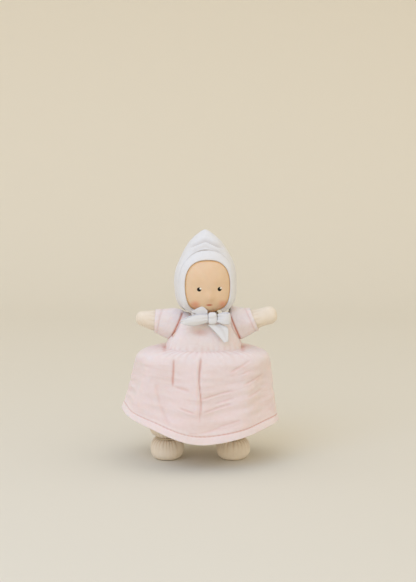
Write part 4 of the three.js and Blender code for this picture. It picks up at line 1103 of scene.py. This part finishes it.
def ribbon(node, edge_a, edge_b, lift, flat, held, painted_shade=None, area=None):
    """A strip of cotton between two edge lines: straight across, then lifted, and thinned at its edges."""
    share = np.linspace(0, 1, RIBBON_COLUMNS)[None, :, None]
    middle = lerp(edge_a[:, None], edge_b[:, None], share)
    facing = np.cross(np.gradient(middle, axis=1), np.gradient(middle, axis=0))
    facing = unit(facing + 1e-9)
    middle = middle + facing * lift[..., None]
    half = RIBBON / 2 * np.sqrt(np.clip(1 - (2 * share - 1) ** 4, 0.1, 1))
    both = two_faced(middle + facing * half, middle - facing * half, pinch=True)
    strip = surface(
        f"cotton_{node}", in_head(both + KNOT), (flat[0] / MM, 2 * flat[1] / MM), COTTON,
        loop_rows=True, loop_columns=False, painted_shade=painted_shade,
    )
    settle(strip, "head", "white_cotton", node)


def make_loop(name, side):
    """A loop of the bow: out from the knot, round and back behind itself, with folds at its root."""
    share = np.linspace(0, 1, 90)
    out = np.sin(np.pi * share)
    belly = lerp(LOOP_ROOT, LOOP_HEIGHT, smoothstep(out, 0, 0.5))
    tall = lerp(belly, LOOP_TIP[side], out ** 3) / 2
    x = side * (KNOT_SIZE[0] / 2 + SEAM_GAP + LOOP_LENGTH[side] * out)
    y = -3 * np.sin(TURN * share) - 1.5 * np.cos(np.pi * share) - 3 * out
    upper, lower = (np.stack([x, y, end * tall - LOOP_DROP[side] * out], axis=-1) for end in (1, -1))
    width = np.linspace(-1, 1, RIBBON_COLUMNS)[None]
    root = np.exp(-out / 0.3)[:, None]
    fold = bump(width - 0.25, 0.16) + bump(width + 0.4, 0.2)
    limp = waves(81 + side, 8 * width, 40 * column(share), (0.03, 0.08), (0.02, 0.05))
    flat = (LOOP_HEIGHT * MM, 2 * (LOOP_LENGTH[side] + LOOP_TURN) * MM)
    shade = 0.15 * fold * root + 0.08 * smoothstep(width, -0.1, 0.9)
    ribbon(name, upper, lower, 0.3 * limp - 0.7 * fold * root, flat, "folded", shade)


def curve_through(*points):
    """A ribbon's edge: a smooth line through three points."""
    t = np.linspace(0, 1, RIBBON_ROWS)
    return np.stack([smooth_curve([0, 0.5, 1], values, t) for values in np.transpose(points)], axis=-1)


def make_knot():
    """The bow's knot: a rounded block with a few folds round it."""
    turn, down = ring(80)[None], column(np.linspace(0.005, np.pi - 0.005, 50))
    fold = bump(np.sin(down * 2.5 + 0.5 * np.sin(turn + 1)), 0.3) * np.sin(down)
    size = KNOT_SIZE / 2 * (1 - 0.06 * fold)[..., None]
    round_x, round_y = rounded(turn, KNOT_POWER)
    in_to_axis, up = rounded(np.pi / 2 - down, KNOT_POWER)
    block = np.stack(np.broadcast_arrays(round_x * in_to_axis, round_y * in_to_axis, up), axis=-1)
    # Painted shade down in the knot's folds.
    knot = surface("cotton_bow_knot", in_head(block * size + KNOT), (30, 16), COTTON, painted_shade=0.2 * fold)
    settle(knot, "head", "white_cotton", "bow_knot")


def make_hanging_tail():
    """The long tail: from under the knot down to a slanting tip, with a fold at its root."""
    top = -KNOT_SIZE[2] / 2 - SEAM_GAP
    root, point = -TAIL_WIDTH * 0.35, TAIL_SWING - TAIL_TIP / 2
    near = curve_through(
        (root, 0, top),
        ((root + point) / 2, -TAIL_FORWARD * 0.6, top - TAIL_LENGTH * 0.47),
        (point, -TAIL_FORWARD, top - TAIL_LENGTH),
    )
    far = curve_through(
        (root + TAIL_WIDTH, 0, top),
        (point + TAIL_TIP, -TAIL_FORWARD * 0.6, top - TAIL_LENGTH * 0.2),
        (point + TAIL_TIP, -TAIL_FORWARD, top - TAIL_LENGTH * 0.92),
    )
    width = np.linspace(-1, 1, RIBBON_COLUMNS)[None]
    along = column(np.linspace(0, 1, RIBBON_ROWS))
    fold = bump(width - 0.1, 0.22) * np.exp(-along / 0.5)
    # Painted shade down in the fold that runs from the tail's root.
    ribbon("bow_hanging_tail", near, far, -0.8 * fold, (0.0105, 0.026), "hung", 0.5 * fold)


def make_short_tail():
    """The short tail: a pointed flap that stands up behind the long loop."""
    back = (KNOT_SIZE[1] - RIBBON) / 2
    beside = -KNOT_SIZE[0] / 2 - SEAM_GAP
    foot = LOOP_HEIGHT * 0.44
    upper = curve_through(
        (beside, back, foot + SHORT_TAIL_HEIGHT * 0.4),
        (beside - SHORT_TAIL_LENGTH * 0.35, back, foot + SHORT_TAIL_HEIGHT),
        (beside - SHORT_TAIL_LENGTH, back, foot + SHORT_TAIL_HEIGHT * 0.3),
    )
    lower = curve_through(
        (beside, back, foot - SHORT_TAIL_TUCK),
        (beside - SHORT_TAIL_LENGTH * 0.5, back, foot - SHORT_TAIL_TUCK),
        (beside - SHORT_TAIL_LENGTH * 0.98, back, foot + SHORT_TAIL_HEIGHT * 0.15),
    )
    level = np.zeros((RIBBON_ROWS, RIBBON_COLUMNS))
    ribbon("bow_short_tail", upper, lower, level, (0.010, 0.018), "folded", area=SHORT_TAIL_AREA)


def make_tie(name, side):
    """A tie: from the corner of the bonnet, sagging a little, to the back of the knot."""
    corner = np.array([side * TIE_CORNER])
    brim_end = brim_share(np.array([float(side)]))
    edges = []
    for share, rise in ((TIE_START[side], TIE_WIDTH - TIE_DROP), (TIE_END[side], -TIE_DROP)):
        start = bonnet_points(corner, brim_end * share, BONNET_GAP + BRIM_CLOTH / 2)[0] - KNOT
        end = np.array([side * TIE_ASIDE, KNOT_SIZE[1] / 2 + SEAM_GAP + RIBBON / 2, rise])
        under = (start + end) / 2 + [side * TIE_SAG, -TIE_SAG, -2 * TIE_SAG]
        edges.append(curve_through(start, under, end))
    level = np.zeros((RIBBON_ROWS, RIBBON_COLUMNS))
    ribbon(f"{name}_bonnet_tie", *edges, level, (0.010, 0.03), "stretched", area=TIE_AREA[side])


make_knot()
make_loop("bow_left_loop", 1)
make_loop("bow_right_loop", -1)
make_hanging_tail()
make_short_tail()
make_tie("left", 1)
make_tie("right", -1)


def make_stage():
    """A cream paper sweep: a floor that curves up behind the doll into a plain wall."""
    bend = np.radians(np.linspace(0, 90, 24))
    floor_end, radius, top, reach = 900, 700, 2600, 9000
    y = np.concatenate([[-reach], floor_end + radius * np.sin(bend), [floor_end + radius]])
    z = np.concatenate([[0], radius * (1 - np.cos(bend)), [top]])
    x = np.linspace(-reach, reach, 3)[None]
    points = np.stack(np.broadcast_arrays(x, column(y), column(z)), axis=-1)
    paper = plain_material("cream paper", "DDD8CB", 0.9)
    surface("paper_sweep", points, (2 * reach, 12000), paper, loop_columns=False)


def aim(thing, target):
    """Turns a lamp or camera towards a place."""
    away = Vector(target) - thing.location
    thing.rotation_euler = away.to_track_quat("-Z", "Y").to_euler()


def make_lamp(name, place, target, size, power, colour):
    """A square soft lamp aimed at a place."""
    data = bpy.data.lights.new(name, "AREA")
    data.size = size
    data.energy = power
    data.color = linear(colour)[:3]
    lamp = bpy.data.objects.new(name, data)
    lamp.location = place
    bpy.context.scene.collection.objects.link(lamp)
    aim(lamp, target)


def make_surround():
    """Even light from all round: warm near the floor, as off cream walls, and cooler from overhead."""
    world = bpy.data.worlds.new("studio")
    world.use_nodes = True
    tree = world.node_tree
    way = add_node(tree, "TexCoord", output="Generated")
    rise = add_node(tree, "SeparateXYZ", {0: way}, "Z")
    overhead = add_node(tree, "MapRange", {"Value": rise, "From Min": 0.0, "From Max": 0.6})
    walls, ceiling = linear("FFE6B8"), linear("E3DFD7")
    colour = add_node(tree, "Mix", {0: overhead, 6: walls, 7: ceiling}, 2, data_type="RGBA")
    tree.links.new(colour, tree.nodes["Background"].inputs["Color"])
    tree.nodes["Background"].inputs["Strength"].default_value = 1.25
    return world


def make_studio():
    """A soft window at the left, an even surround, and the camera at the photograph's angle."""
    make_stage()
    middle = (0.0, 0.0, 0.13)
    make_lamp("window", (-0.85, -1.4, 1.6), middle, size=1.8, power=18, colour="9CC4FF")
    scene = bpy.context.scene
    scene.world = make_surround()
    scene.view_settings.view_transform = "Standard"
    data = bpy.data.cameras.new("camera")
    data.lens = 85
    camera = bpy.data.objects.new("camera", data)
    height, distance = np.radians(9.5), 1.553
    target = (0.00915, 0.0, 0.19475)
    camera.location = (target[0], -distance * np.cos(height), target[2] + distance * np.sin(height))
    scene.collection.objects.link(camera)
    aim(camera, target)
    scene.camera = camera


make_studio()
